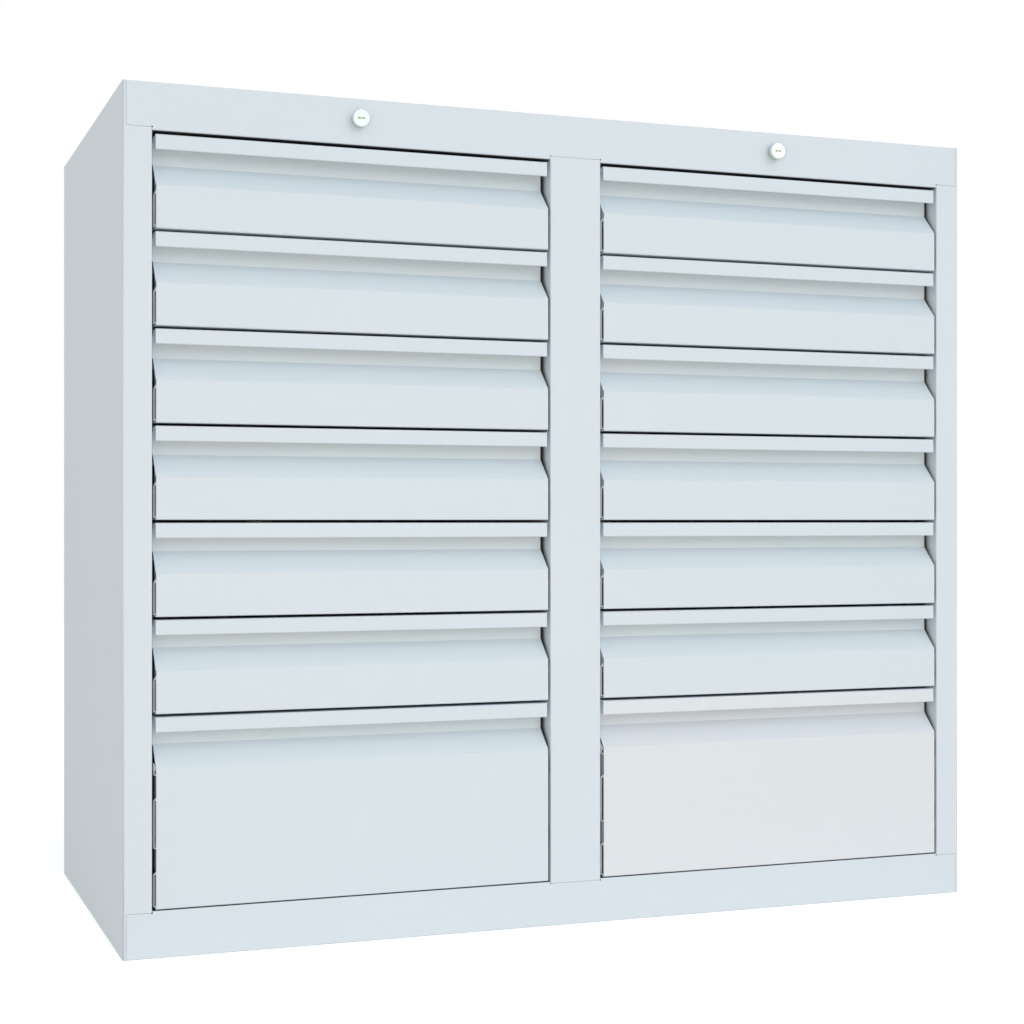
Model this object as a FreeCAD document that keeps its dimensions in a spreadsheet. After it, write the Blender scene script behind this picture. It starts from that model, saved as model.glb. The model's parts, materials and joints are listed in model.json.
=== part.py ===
import FreeCAD, Part
import os
import re
import Sketcher

# A free-standing sheet-metal slide cabinet: two columns of drawers, each column with six
# shallow slide drawers over one deep drawer, and a cam lock that drops a locking bar behind
# the whole column. Millimetres; +X to the right, +Y to the rear, +Z up. The origin is on the
# floor, in the middle of the cabinet with its lock heads.

os.makedirs("parts", exist_ok=True)
doc = FreeCAD.newDocument("slide_cabinet")

SHALLOW_DRAWERS = 6
DRAWER_WORDS = ["one", "two", "three", "four", "five", "six", "seven"]
COLUMNS = {"left": -1, "right": 1}
UPRIGHTS_ON_A_WALL = 2
GUIDES_ON_A_BAR = 3
SAME_PLACE = 1e-4

# ---------------------------------------------------------------------------------------
# Driving dimensions
# ---------------------------------------------------------------------------------------

DRIVING = {
    # casing
    "casing_sheet": 1.5,
    "cabinet_depth": 500,
    "opening_width": 439.5,
    "stile_width": 29.75,
    "centre_post_width": 60,
    "stile_return": 27,
    "rear_flange": 20,
    "top_rail_height": 50,
    "bottom_rail_height": 49,
    "rail_end_inset": 3.5,
    "seam_gap": 0.3,
    "top_lap": 4,
    "bottom_lap": 2,
    "corner_relief": 1.6,
    "casing_fold_radius": 1.5,
    "lock_rail_fold_radius": 2.5,
    # drawer fronts
    "bay_height": 99.9,
    "deep_bay_height": 200.6,
    "front_floor_gap": 1,
    "front_gap": 3,
    "front_side_gap": 3.3,
    "front_shift": 0.5,
    "front_fold_radius": 1.4,
    "hem_radius": 1.1,
    "front_sheet": 1.2,
    "lip_height": 15.8,
    "lip_trim": 1.4,
    "hem_height": 9,
    "recess_height": 13.5,
    "recess_depth": 19,
    "recess_overhang": 1.4,
    "recess_end_flange": 6,
    "recess_end_foot": 1,
    "recess_end_drop": 5,
    "slope_rise": 22.7,
    "foot_lip_height": 16,
    "tab_depth": 7,
    "tab_splay": 16,
    "tab_foot": 2,
    "tab_height": 37,
    "tab_slant": 4,
    "tab_bridge": 1.5,
    "fold_slot_width": 1.9,
    "middle_tab_foot": 62,
    "middle_tab_height": 53,
    "upper_tab_foot": 137.5,
    # trays
    "tray_sheet": 1,
    "tray_lift": 8,
    "tray_hem": 9,
    "tray_hem_gap": 3,
    "tray_wall_height": 70,
    "deep_tray_wall_height": 170,
    "rear_space": 26,
    "slide_rows": 5,
    "divider_height": 25,
    "divider_end_gap": 12,
    # runners and their uprights
    "runner_space": 12.7,
    "runner_rise": 44,
    "runner_height": 32,
    "runner_sheet": 1.2,
    "runner_gap": 0.3,
    "runner_front": 34,
    "runner_end_gap": 8,
    "upright_width": 40,
    "upright_front": 62,
    "upright_spacing": 340,
    # locks
    "lock_drop": 22.5,
    "lock_head_radius": 9.5,
    "lock_head_length": 10,
    "lock_rim_radius": 1.8,
    "lock_barrel_radius": 8,
    "lock_barrel_length": 22,
    "lock_hole_gap": 0.2,
    "lock_nut_width": 22,
    "lock_nut_thickness": 4,
    "plug_radius": 6.5,
    "plug_gap": 0.05,
    "plug_setback": 0.4,
    "keyway_width": 8.5,
    "keyway_height": 2.2,
    "keyway_depth": 8,
    # locking linkage
    "rod_radius": 4,
    "rod_gap": 0.1,
    "crank_radius": 8,
    "crank_angle": 45,
    "crank_half_width": 4.5,
    "crank_sheet": 4,
    "crank_gap": 0.7,
    "crank_pin_radius": 2.5,
    "pin_play": 0.35,
    "bar_width": 30,
    "bar_sheet": 3,
    "bar_gap": 0.3,
    "bar_head": 10,
    "bar_foot": 70,
    "hook_width": 20,
    "hook_sheet": 2,
    "hook_finger": 10,
    "hook_lift": 2.5,
    "hook_wall_gap": 3,
    "guide_sheet": 1.5,
    "guide_height": 15,
    "guide_foot": 10,
    "guide_drop": 35,
    "bracket_width": 24,
    "bracket_flange": 18,
    "bracket_space": 14,
}

# Places worked out from the driving dimensions, each from the ones above it. Drawer places
# are measured from the bottom of the drawer's own bay, and depths from the front plane.
DERIVED = {
    "half_width": "opening_width + stile_width + centre_post_width / 2",
    "column_x": "centre_post_width / 2 + opening_width / 2",
    "bays_floor": "bottom_rail_height + front_floor_gap",
    "shallow_floor": "bays_floor + deep_bay_height",
    "rail_underside": f"shallow_floor + {SHALLOW_DRAWERS} * bay_height",
    "cabinet_height": "rail_underside + top_rail_height",
    "front_y": "lock_head_length / 2 - cabinet_depth / 2",
    "back_inner": "cabinet_depth - 2 * casing_sheet",
    "tray_front": "recess_depth + front_sheet",
    "tray_back": "back_inner - rear_space",
    "tray_half_width": "opening_width / 2 - runner_space",
    "front_half_width": "opening_width / 2 - front_side_gap",
    "recess_half_width": "front_half_width + recess_overhang",
    "tab_skin": "front_sheet / cos(tab_splay)",
    "tab_reach": "(tab_depth - front_sheet / 2) * tan(tab_splay)",
    "slope_shift": "front_sheet * tan(atan(recess_depth / slope_rise) / 2)",
    "row_pitch": "(2 * tray_half_width - tray_sheet) / slide_rows",
    "runner_length": "tray_back - runner_end_gap - runner_front",
    "lock_z": "cabinet_height - lock_drop",
    "bar_front": "back_inner - bar_gap - bar_sheet",
    "crank_front": "bar_front - crank_gap - crank_sheet",
    "pin_high": "crank_radius * sin(crank_angle)",
    "pin_near": "crank_radius * cos(crank_angle)",
    "hook_top": "tray_lift + hook_lift + hook_finger + hook_sheet",
    "lowest_hook_z": "bays_floor + deep_tray_wall_height + hook_top",
    "shallow_hook_z": "shallow_floor + tray_wall_height + hook_top",
    "finger_front": "tray_back - tray_sheet - hook_wall_gap - hook_sheet",
}


def make_sheet(name):
    """Adds an empty spreadsheet."""
    return doc.addObject("Spreadsheet::Sheet", name)


def fill(sheet, row, alias, text):
    """Writes one named value, with its name beside it."""
    sheet.set(f"A{row}", alias)
    sheet.set(f"B{row}", text)
    sheet.setAlias(f"B{row}", alias)


sizes = make_sheet("sizes")
for row, (alias, number) in enumerate(DRIVING.items(), start=1):
    fill(sizes, row, alias, str(number))


def bound(text, home=None):
    """Turns a formula in plain names into an expression that points at the sheets."""

    def point(match):
        word = match.group(0)
        if word in DRIVING:
            return f"sizes.{word}"
        if word in DERIVED and home is None:
            return f"places.{word}"
        return word

    return re.sub(r"[a-z][a-z_]+", point, str(text))


places = make_sheet("places")
for row, (alias, formula) in enumerate(DERIVED.items(), start=1):
    fill(places, row, alias, "=" + bound(formula, home=places))
doc.recompute()


def value(text):
    """The number that a formula gives now."""
    return float(places.evalExpression(bound(text)))


# ---------------------------------------------------------------------------------------
# Modelling helpers
# ---------------------------------------------------------------------------------------

NODES = []
FOLDS = []


def put(thing, at):
    """Places an object at three formulas."""
    for axis, formula in zip("xyz", at):
        thing.setExpression(f"Placement.Base.{axis}", bound(formula))


def node(thing, label):
    """Names an object as one sub-part of the cabinet."""
    thing.Label = label
    NODES.append(thing)
    return thing


def new_body(label, at=("0", "front_y", "0"), is_node=True):
    """A body whose own origin is placed in the cabinet; depth 0 is the front plane."""
    body = doc.addObject("PartDesign::Body", label)
    put(body, at)
    if is_node:
        node(body, label)
    return body


def blank_sketch(body, role, offset):
    """A sketch on one of the body's own planes, moved along the plane's normal."""
    sketch = body.newObject("Sketcher::SketchObject", body.Label + "_sketch")
    plane = [item for item in body.Origin.OriginFeatures if item.Role == role][0]
    sketch.AttachmentSupport = [(plane, "")]
    sketch.MapMode = "FlatFace"
    if offset is not None:
        sketch.setExpression("AttachmentOffset.Base.z", bound(offset))
    return sketch


def outline(body, role, loops, offset=None):
    """A sketch of closed outlines; every corner is held by two formulas."""
    sketch = blank_sketch(body, role, offset)
    for loop in loops:
        first = sketch.GeometryCount
        corners = [FreeCAD.Vector(value(across), value(up), 0) for across, up in loop]
        following = corners[1:] + corners[:1]
        sides = [Part.LineSegment(start, end) for start, end in zip(corners, following)]
        sketch.addGeometry(sides, False)
        count = len(loop)
        joins = []
        for side in range(count):
            after = first + (side + 1) % count
            joins.append(Sketcher.Constraint("Coincident", first + side, 2, after, 1))
        sketch.addConstraint(joins)
        for side, (across, up) in enumerate(loop):
            hold(sketch, first + side, 1, "DistanceX", across)
            hold(sketch, first + side, 1, "DistanceY", up)
    return sketch


def hold(sketch, geometry, point, kind, formula):
    """Holds one point of a sketch at a formula's distance from the sketch origin."""
    rule = Sketcher.Constraint(kind, -1, 1, geometry, point, value(formula))
    index = sketch.addConstraint(rule)
    sketch.setExpression(f"Constraints[{index}]", bound(formula))


def circle(body, role, centre, radius, offset=None):
    """A sketch of one circle."""
    sketch = blank_sketch(body, role, offset)
    middle = FreeCAD.Vector(value(centre[0]), value(centre[1]), 0)
    normal = FreeCAD.Vector(0, 0, 1)
    sketch.addGeometry(Part.Circle(middle, normal, value(radius)), False)
    hold(sketch, 0, 3, "DistanceX", centre[0])
    hold(sketch, 0, 3, "DistanceY", centre[1])
    index = sketch.addConstraint(Sketcher.Constraint("Radius", 0, value(radius)))
    sketch.setExpression(f"Constraints[{index}]", bound(radius))
    return sketch


def extrude(kind, body, sketch, length, both_ways=False, backwards=False):
    """A pad or pocket of a sketch; both_ways spreads the length over the sketch's two sides."""
    feature = body.newObject("PartDesign::" + kind, f"{body.Label}_{kind.lower()}")
    feature.Profile = sketch
    feature.setExpression("Length", bound(length))
    feature.Midplane = both_ways
    feature.Reversed = backwards
    return feature


def pad_across(body, loops, length):
    """Pads side-view outlines (depth, height) evenly to the left and right."""
    return extrude("Pad", body, outline(body, "YZ_Plane", loops), length, both_ways=True)


def cut_across(body, loops, length):
    """Cuts side-view outlines (depth, height) evenly to the left and right."""
    return extrude("Pocket", body, outline(body, "YZ_Plane", loops), length, both_ways=True)


def pad_up(body, loops, start, length):
    """Pads plan outlines (across, depth) upwards from a height."""
    return extrude("Pad", body, outline(body, "XY_Plane", loops, start), length)


def cut_up(body, loops, start, length):
    """Cuts plan outlines (across, depth) upwards from a height."""
    sketch = outline(body, "XY_Plane", loops, start)
    return extrude("Pocket", body, sketch, length, backwards=True)


def pad_back(body, loops, start, length):
    """Pads front-view outlines (across, height) rearwards from a depth."""
    sketch = outline(body, "XZ_Plane", loops, f"-({start})")
    return extrude("Pad", body, sketch, length, backwards=True)


def cut_back(body, loops, start, length):
    """Cuts front-view outlines (across, height) rearwards from a depth."""
    sketch = outline(body, "XZ_Plane", loops, f"-({start})")
    return extrude("Pocket", body, sketch, length)


def shaft(kind, body, centre, radius, start, length):
    """A round pad or pocket that runs rearwards from a depth."""
    sketch = circle(body, "XZ_Plane", centre, radius, f"-({start})")
    return extrude(kind, body, sketch, length, backwards=(kind == "Pad"))


def repeat(body, feature, axis, spacing, count):
    """Copies a feature along an axis of its own sketch at an even spacing."""
    pattern = body.newObject("PartDesign::LinearPattern", body.Label + "_pattern")
    pattern.Originals = [feature]
    pattern.Direction = (feature.Profile[0], [axis])
    pattern.setExpression("Length", bound(f"({spacing}) * ({count} - 1)"))
    pattern.setExpression("Occurrences", bound(count))
    body.Tip = pattern
    return pattern


def rectangle(low_u, high_u, low_v, high_v):
    """The four corners of a rectangle."""
    return [(low_u, low_v), (high_u, low_v), (high_u, high_v), (low_u, high_v)]


def round_folds(body, run, radius, places_of_folds):
    """Asks for rounded folds; run is the axis (0, 1 or 2) that the folds lie along."""
    FOLDS.append((body, run, radius, places_of_folds))


def make_folds():
    """Rounds the outer edges of the folds, once the bodies have their shapes."""
    for body, run, radius, places_of_folds in FOLDS:
        doc.recompute()
        base = body.Tip
        shape = base.Shape
        across = [axis for axis in range(3) if axis != run]
        targets = [(value(first), value(second)) for first, second in places_of_folds]
        chosen = []
        for number, edge in enumerate(shape.Edges, start=1):
            ends = [vertex.Point for vertex in edge.Vertexes]
            for target in targets:
                if all(near(end, across, target) for end in ends):
                    chosen.append(f"Edge{number}")
        fillet = body.newObject("PartDesign::Fillet", body.Label + "_folds")
        fillet.Base = (base, chosen)
        fillet.setExpression("Radius", bound(radius))
        body.Tip = fillet
    doc.recompute()


def near(point, across, target):
    """Whether a point lies on a line along the remaining axis."""
    return all(abs(point[axis] - goal) < SAME_PLACE for axis, goal in zip(across, target))


# ---------------------------------------------------------------------------------------
# Casing
# ---------------------------------------------------------------------------------------


def side_panel(side, sign):
    """A side wall, folded in front into the stile and its return, and behind into a flange."""
    body = new_body(f"{side}_side_panel")
    outer = f"{sign} * half_width"

    def inward(distance):
        return f"{sign} * (half_width - ({distance}))"

    section = [
        (outer, "0"),
        (inward("stile_width"), "0"),
        (inward("stile_width"), "stile_return"),
        (inward("stile_width - casing_sheet"), "stile_return"),
        (inward("stile_width - casing_sheet"), "casing_sheet"),
        (inward("casing_sheet"), "casing_sheet"),
        (inward("casing_sheet"), "cabinet_depth - casing_sheet"),
        (inward("rear_flange"), "cabinet_depth - casing_sheet"),
        (inward("rear_flange"), "cabinet_depth"),
        (outer, "cabinet_depth"),
    ]
    pad_up(body, [section], "0", "cabinet_height")
    # The stile stops at the rails, which leave only a narrow strip beside their ends.
    beside = rectangle(
        inward("rail_end_inset - seam_gap"), inward("stile_width + seam_gap"),
        "-seam_gap", "stile_return + seam_gap",
    )
    stile_top = "rail_underside + top_lap - seam_gap"
    cut_up(body, [beside], stile_top, "top_rail_height")
    cut_up(body, [beside], "0", "bottom_rail_height - bottom_lap + seam_gap")
    # The rear flange stops short of the top and bottom panels' own rear flanges.
    behind = rectangle(
        inward("casing_sheet"), inward("rear_flange + seam_gap"),
        "cabinet_depth - casing_sheet", "cabinet_depth + seam_gap",
    )
    cut_up(body, [behind], "cabinet_height - rear_flange", "rear_flange + seam_gap")
    cut_up(body, [behind], "0", "rear_flange")
    folds = [(outer, "0"), (inward("stile_width"), "0"), (outer, "cabinet_depth")]
    round_folds(body, 2, "casing_fold_radius", folds)


def rail_notches(low, high):
    """Three front-view notches that let the stiles and the post lap a rail."""
    return [
        rectangle("-half_width", "-(half_width - stile_width)", low, high),
        rectangle("-centre_post_width / 2", "centre_post_width / 2", low, high),
        rectangle("half_width - stile_width", "half_width", low, high),
    ]


def corner_reliefs(middle):
    """The small square reliefs where a stile's or post's inner edge meets a rail."""
    squares = []
    for edge in ("half_width - stile_width", "centre_post_width / 2"):
        for sign in (-1, 1):
            low_u = f"{sign} * ({edge}) - corner_relief / 2"
            high_u = f"{sign} * ({edge}) + corner_relief / 2"
            low_v = f"{middle} - corner_relief / 2"
            high_v = f"{middle} + corner_relief / 2"
            squares.append(rectangle(low_u, high_u, low_v, high_v))
    return squares


def end_panel(label, edge, up, rail, lap, rail_fold):
    """The top or bottom panel, folded in front into a rail; up is 1 where the rail goes up."""
    body = new_body(label)

    def height(distance):
        return f"{edge} + {up} * ({distance})"

    profile = [
        ("0", height("0")),
        ("0", height(rail)),
        ("stile_return", height(rail)),
        ("stile_return", height(f"{rail} - casing_sheet")),
        ("casing_sheet", height(f"{rail} - casing_sheet")),
        ("casing_sheet", height("casing_sheet")),
        ("cabinet_depth - casing_sheet", height("casing_sheet")),
        ("cabinet_depth - casing_sheet", height("rear_flange")),
        ("cabinet_depth", height("rear_flange")),
        ("cabinet_depth", height("0")),
    ]
    pad_across(body, [profile], "2 * (half_width - rail_end_inset)")
    # Behind the rail the sheet is wider and fills the room between the side walls.
    low, high = sorted([height("0"), height("casing_sheet")], key=value)
    wide = rectangle("casing_sheet + seam_gap", "cabinet_depth", low, high)
    pad_across(body, [wide], "2 * (half_width - casing_sheet - seam_gap)")
    low, high = sorted([height(f"{rail} - {lap}"), height(rail)], key=value)
    depth = "stile_return + seam_gap"
    cut_back(body, rail_notches(low, high), "-seam_gap", f"{depth} + seam_gap")
    cut_back(body, corner_reliefs(height(f"{rail} - {lap}")), "-seam_gap", "casing_sheet + 2 * seam_gap")
    round_folds(body, 0, "casing_fold_radius", [("0", height("0")), ("cabinet_depth", height("0"))])
    round_folds(body, 0, rail_fold, [("0", height(rail))])
    return body


def top_panel():
    """The top, with the rail that carries the two locks."""
    body = end_panel(
        "top_panel", "cabinet_height", -1, "top_rail_height", "top_lap", "lock_rail_fold_radius"
    )
    for sign in COLUMNS.values():
        centre = (f"{sign} * column_x", "lock_z")
        radius = "lock_barrel_radius + lock_hole_gap"
        shaft("Pocket", body, centre, radius, "-seam_gap", "casing_sheet + 2 * seam_gap")


def bottom_panel():
    """The floor of the cabinet, with the rail under the deep drawers."""
    end_panel(
        "bottom_panel", "0", 1, "bottom_rail_height", "bottom_lap", "casing_fold_radius"
    )


def back_panel():
    """A flat sheet that lies inside the rear flanges."""
    body = new_body("back_panel")
    edge = "half_width - casing_sheet - seam_gap"
    low = "casing_sheet + seam_gap"
    sheet = rectangle(f"-({edge})", edge, low, f"cabinet_height - ({low})")
    pad_back(body, [sheet], "back_inner", "casing_sheet")


def centre_partition():
    """The centre post and the two walls behind it, folded from one sheet."""
    body = new_body("centre_partition")
    half = "centre_post_width / 2"
    skin = f"{half} - casing_sheet"
    lip = f"{half} - rear_flange / 2"
    right = [
        (half, "0"),
        (half, "back_inner"),
        (lip, "back_inner"),
        (lip, "back_inner - casing_sheet"),
        (skin, "back_inner - casing_sheet"),
        (skin, "casing_sheet"),
    ]
    left = [(f"-({across})", depth) for across, depth in reversed(right)]
    pad_up(body, [right + left], "casing_sheet", "cabinet_height - 2 * casing_sheet")
    # In front, the post stops at the rails; behind them its walls run from floor to top.
    face = rectangle(
        f"-({half} + seam_gap)", f"{half} + seam_gap", "-seam_gap", "casing_sheet + seam_gap"
    )
    post_top = "rail_underside + top_lap - seam_gap"
    cut_up(body, [face], post_top, "top_rail_height")
    cut_up(body, [face], "0", "bottom_rail_height - bottom_lap + seam_gap")
    round_folds(body, 2, "casing_fold_radius", [(half, "0"), (f"-({half})", "0")])


def runner_uprights():
    """Two channel uprights on each side wall, level with the stile's return."""
    body = new_body("runner_uprights")
    for sign in COLUMNS.values():

        def inward(distance):
            return f"{sign} * (half_width - ({distance}))"

        wall = "casing_sheet"
        web = "stile_width"
        near_side = "upright_front"
        far_side = "upright_front + upright_width"
        channel = [
            (inward(wall), near_side),
            (inward(web), near_side),
            (inward(web), far_side),
            (inward(wall), far_side),
            (inward(wall), f"{far_side} - casing_sheet"),
            (inward(f"{web} - casing_sheet"), f"{far_side} - casing_sheet"),
            (inward(f"{web} - casing_sheet"), f"{near_side} + casing_sheet"),
            (inward(wall), f"{near_side} + casing_sheet"),
        ]
        length = "cabinet_height - 2 * casing_sheet"
        upright = pad_up(body, [channel], "casing_sheet", length)
        repeat(body, upright, "V_Axis", "upright_spacing", UPRIGHTS_ON_A_WALL)


# ---------------------------------------------------------------------------------------
# Runners
# ---------------------------------------------------------------------------------------


def cabinet_channel(sign, x_middle, z_middle):
    """A runner channel that opens towards the drawer, seen from the front."""
    wall = f"{x_middle} + {sign} * opening_width / 2"

    def off_wall(distance):
        return f"{wall} - {sign} * ({distance})"

    half = "runner_height / 2"
    reach = "runner_space - runner_sheet - runner_gap"
    return [
        (off_wall("0"), f"{z_middle} - {half}"),
        (off_wall(reach), f"{z_middle} - {half}"),
        (off_wall(reach), f"{z_middle} - {half} + runner_sheet"),
        (off_wall("runner_sheet"), f"{z_middle} - {half} + runner_sheet"),
        (off_wall("runner_sheet"), f"{z_middle} + {half} - runner_sheet"),
        (off_wall(reach), f"{z_middle} + {half} - runner_sheet"),
        (off_wall(reach), f"{z_middle} + {half}"),
        (off_wall("0"), f"{z_middle} + {half}"),
    ]


def cabinet_runners():
    """The fixed channels of both columns, a pair at every bay."""
    body = new_body("cabinet_runner_channels")
    deep = "bays_floor + runner_rise"
    lowest = "shallow_floor + runner_rise"
    for column in COLUMNS.values():
        middle = f"{column} * column_x"
        pair = [cabinet_channel(sign, middle, deep) for sign in (-1, 1)]
        pad_back(body, pair, "runner_front", "runner_length")
        pair = [cabinet_channel(sign, middle, lowest) for sign in (-1, 1)]
        stack = pad_back(body, pair, "runner_front", "runner_length")
        repeat(body, stack, "V_Axis", "bay_height", SHALLOW_DRAWERS)


def drawer_channel(sign):
    """A runner channel on the tray's side that slides inside the fixed one."""
    half = "runner_height / 2 - runner_sheet - runner_gap"

    def off_tray(distance):
        return f"{sign} * (tray_half_width + ({distance}))"

    reach = "runner_space - runner_sheet - runner_gap"
    return [
        (off_tray("0"), f"runner_rise - ({half})"),
        (off_tray(reach), f"runner_rise - ({half})"),
        (off_tray(reach), f"runner_rise - ({half}) + runner_sheet"),
        (off_tray("runner_sheet"), f"runner_rise - ({half}) + runner_sheet"),
        (off_tray("runner_sheet"), f"runner_rise + {half} - runner_sheet"),
        (off_tray(reach), f"runner_rise + {half} - runner_sheet"),
        (off_tray(reach), f"runner_rise + {half}"),
        (off_tray("0"), f"runner_rise + {half}"),
    ]


# ---------------------------------------------------------------------------------------
# Drawers
# ---------------------------------------------------------------------------------------


def front_profile(bay):
    """The folded front in side view: hemmed lip, finger recess, slope, face and foot lip."""
    sheet = "front_sheet"
    top = f"{bay} - front_gap"
    lip_end = f"{top} - lip_height"
    slope_top = f"{lip_end} - recess_height"
    crease = f"{slope_top} - slope_rise"
    return [
        ("0", "0"),
        ("0", crease),
        ("recess_depth", slope_top),
        ("recess_depth", f"{top} - {sheet}"),
        (sheet, f"{top} - {sheet}"),
        (sheet, f"{lip_end} + hem_height"),
        (f"2 * {sheet}", f"{lip_end} + hem_height"),
        (f"2 * {sheet}", lip_end),
        ("0", lip_end),
        ("0", top),
        ("tray_front", top),
        ("tray_front", f"{slope_top} - slope_shift"),
        (sheet, f"{crease} - slope_shift"),
        (sheet, sheet),
        ("recess_depth", sheet),
        ("recess_depth", "foot_lip_height"),
        ("tray_front", "foot_lip_height"),
        ("tray_front", "0"),
    ]


def slope_tab(bay):
    """The upper side tab of a deep front, whose top edge follows the slope."""
    crease = f"{bay} - front_gap - lip_height - recess_height - slope_rise - slope_shift"
    reach = "tab_depth - front_sheet"
    return [
        ("front_sheet", "upper_tab_foot"),
        ("tab_depth", "upper_tab_foot"),
        ("tab_depth", f"{crease} + ({reach}) * slope_rise / recess_depth"),
        ("front_sheet", crease),
    ]


def splayed_tab(sign):
    """A side tab seen from above, bent back a little short of square."""

    def outward(distance):
        return f"{sign} * (front_half_width + ({distance}))"

    return [
        (outward("0"), "front_sheet / 2"),
        (outward("tab_reach"), "tab_depth"),
        (outward("tab_reach - tab_skin"), "tab_depth"),
        (outward("-tab_skin"), "front_sheet / 2"),
    ]


def add_tabs(body, foot, height):
    """A tab at each end of the face, with a slot along its fold and a slanted top."""
    pad_up(body, [splayed_tab(sign) for sign in COLUMNS.values()], foot, height)
    slot_low = f"{foot} + tab_bridge"
    slot_high = f"{foot} + {height} - tab_bridge - tab_slant / 2"
    slot = rectangle("front_sheet", "front_sheet + fold_slot_width", slot_low, slot_high)
    top = f"{foot} + {height}"
    beyond = "tab_depth + seam_gap"
    slant = [("front_sheet", top), (beyond, f"{top} - tab_slant"), (beyond, top)]
    cut_across(body, [slot, slant], "opening_width")


def close_recess_ends(body, bay):
    """Widens the recess's rear wall and turns a short flange forwards at each end."""
    top = f"{bay} - front_gap"
    low = f"{top} - lip_height - recess_height + recess_end_foot"
    high = f"{top} - front_sheet - recess_end_drop"
    flange_front = "recess_depth - recess_end_flange"
    block = rectangle(flange_front, "tray_front", low, high)
    pad_across(body, [block], "2 * recess_half_width")
    room = rectangle(flange_front, "recess_depth", low, high)
    cut_across(body, [room], "2 * (recess_half_width - front_sheet)")


def trim_lip(body, lip_end):
    """Stops the lip short of the face's right-hand end."""
    corner = rectangle(
        "front_half_width - lip_trim", "front_half_width + seam_gap",
        "-seam_gap", "2 * front_sheet + seam_gap",
    )
    cut_up(body, [corner], f"{lip_end} - seam_gap", "lip_height + 2 * seam_gap")


def drawer_front(label, at, bay, deep):
    """A front folded from one sheet, with side tabs behind its face."""
    body = new_body(label, at)
    top = f"{bay} - front_gap"
    lip_end = f"{top} - lip_height"
    crease = f"{lip_end} - recess_height - slope_rise"
    width = "2 * front_half_width"
    pad_across(body, [front_profile(bay)], width)
    if deep:
        sketch = outline(body, "YZ_Plane", [slope_tab(bay)])
        extrude("Pad", body, sketch, width, both_ways=True)
        extrude("Pocket", body, sketch, f"{width} - 2 * front_sheet", both_ways=True)
        add_tabs(body, "middle_tab_foot", "middle_tab_height")
    add_tabs(body, "tab_foot", "tab_height")
    close_recess_ends(body, bay)
    trim_lip(body, lip_end)
    folds = [("0", "0"), ("0", crease), ("0", top), ("tray_front", top)]
    round_folds(body, 0, "front_fold_radius", folds)
    round_folds(body, 0, "hem_radius", [("0", lip_end), ("2 * front_sheet", lip_end)])


def drawer_tray(label, at, wall, deep):
    """An open tray; a shallow one has lengthwise dividers for rows of slides."""
    body = new_body(label, at)
    half = "tray_half_width"
    outer = rectangle(f"-{half}", half, "tray_front", "tray_back")
    pad_up(body, [outer], "tray_lift", wall)
    inner_half = "tray_half_width - tray_sheet"
    inner = rectangle(
        f"-({inner_half})", inner_half, "tray_front + tray_sheet", "tray_back - tray_sheet"
    )
    cut_up(body, [inner], "tray_lift + tray_sheet", wall)
    # The top edges of the side walls are folded outwards and down.
    hems = []
    for sign in COLUMNS.values():
        skin = (f"{sign} * {half}", f"{sign} * ({half} + tray_sheet)")
        hems.append(rectangle(*skin, "tray_front + tray_hem_gap", "tray_back - tray_hem_gap"))
    pad_up(body, hems, f"tray_lift + {wall} - tray_hem", "tray_hem")
    if deep:
        return
    first = "-tray_half_width + row_pitch"
    divider = rectangle(
        first, f"{first} + tray_sheet",
        "tray_front + divider_end_gap", "tray_back - divider_end_gap",
    )
    wall_pad = pad_up(body, [divider], "tray_lift + tray_sheet / 2", "divider_height")
    repeat(body, wall_pad, "H_Axis", "row_pitch", "slide_rows - 1")


def drawer_runners(label, at):
    """The pair of moving channels on a tray's sides."""
    body = new_body(label, at)
    pair = [drawer_channel(sign) for sign in (-1, 1)]
    pad_back(body, pair, "runner_front", "runner_length")


def drawers(side, sign):
    """All the drawers of a column, counted from the top."""
    for count, word in enumerate(DRAWER_WORDS):
        deep = count == SHALLOW_DRAWERS
        bay = "deep_bay_height" if deep else "bay_height"
        wall = "deep_tray_wall_height" if deep else "tray_wall_height"
        above = SHALLOW_DRAWERS - 1 - count
        floor = "bays_floor" if deep else f"shallow_floor + {above} * bay_height"
        at = (f"{sign} * column_x", "front_y", floor)
        front_at = (f"{sign} * column_x + front_shift", "front_y", floor)
        drawer_front(f"{side}_drawer_front_{word}", front_at, bay, deep)
        drawer_tray(f"{side}_drawer_tray_{word}", at, wall, deep)
        drawer_runners(f"{side}_drawer_runners_{word}", at)


# ---------------------------------------------------------------------------------------
# Locks and locking bars
# ---------------------------------------------------------------------------------------


def lock_housing(side, at):
    """The fixed barrel of a cam lock, with its proud head in front of the rail."""
    body = new_body(f"{side}_lock_housing", at)
    centre = ("0", "0")
    shaft("Pad", body, centre, "lock_head_radius", "-lock_head_length", "lock_head_length")
    shaft("Pad", body, centre, "lock_barrel_radius", "0", "lock_barrel_length")
    bore = "plug_radius + plug_gap"
    shaft("Pocket", body, centre, bore, "-lock_head_length", "lock_head_length + lock_barrel_length")
    round_head(body)


def round_head(body):
    """Breaks the outer front edge of a lock head."""
    doc.recompute()
    front = -value("lock_head_length")
    chosen = []
    for number, edge in enumerate(body.Tip.Shape.Edges, start=1):
        curve = edge.Curve
        if not isinstance(curve, Part.Circle):
            continue
        at_front = abs(curve.Center.y - front) < SAME_PLACE
        on_head = abs(curve.Radius - value("lock_head_radius")) < SAME_PLACE
        if at_front and on_head:
            chosen.append(f"Edge{number}")
    base = body.Tip
    fillet = body.newObject("PartDesign::Fillet", body.Label + "_rim")
    fillet.Base = (base, chosen)
    fillet.setExpression("Radius", bound("lock_rim_radius"))
    body.Tip = fillet


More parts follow.
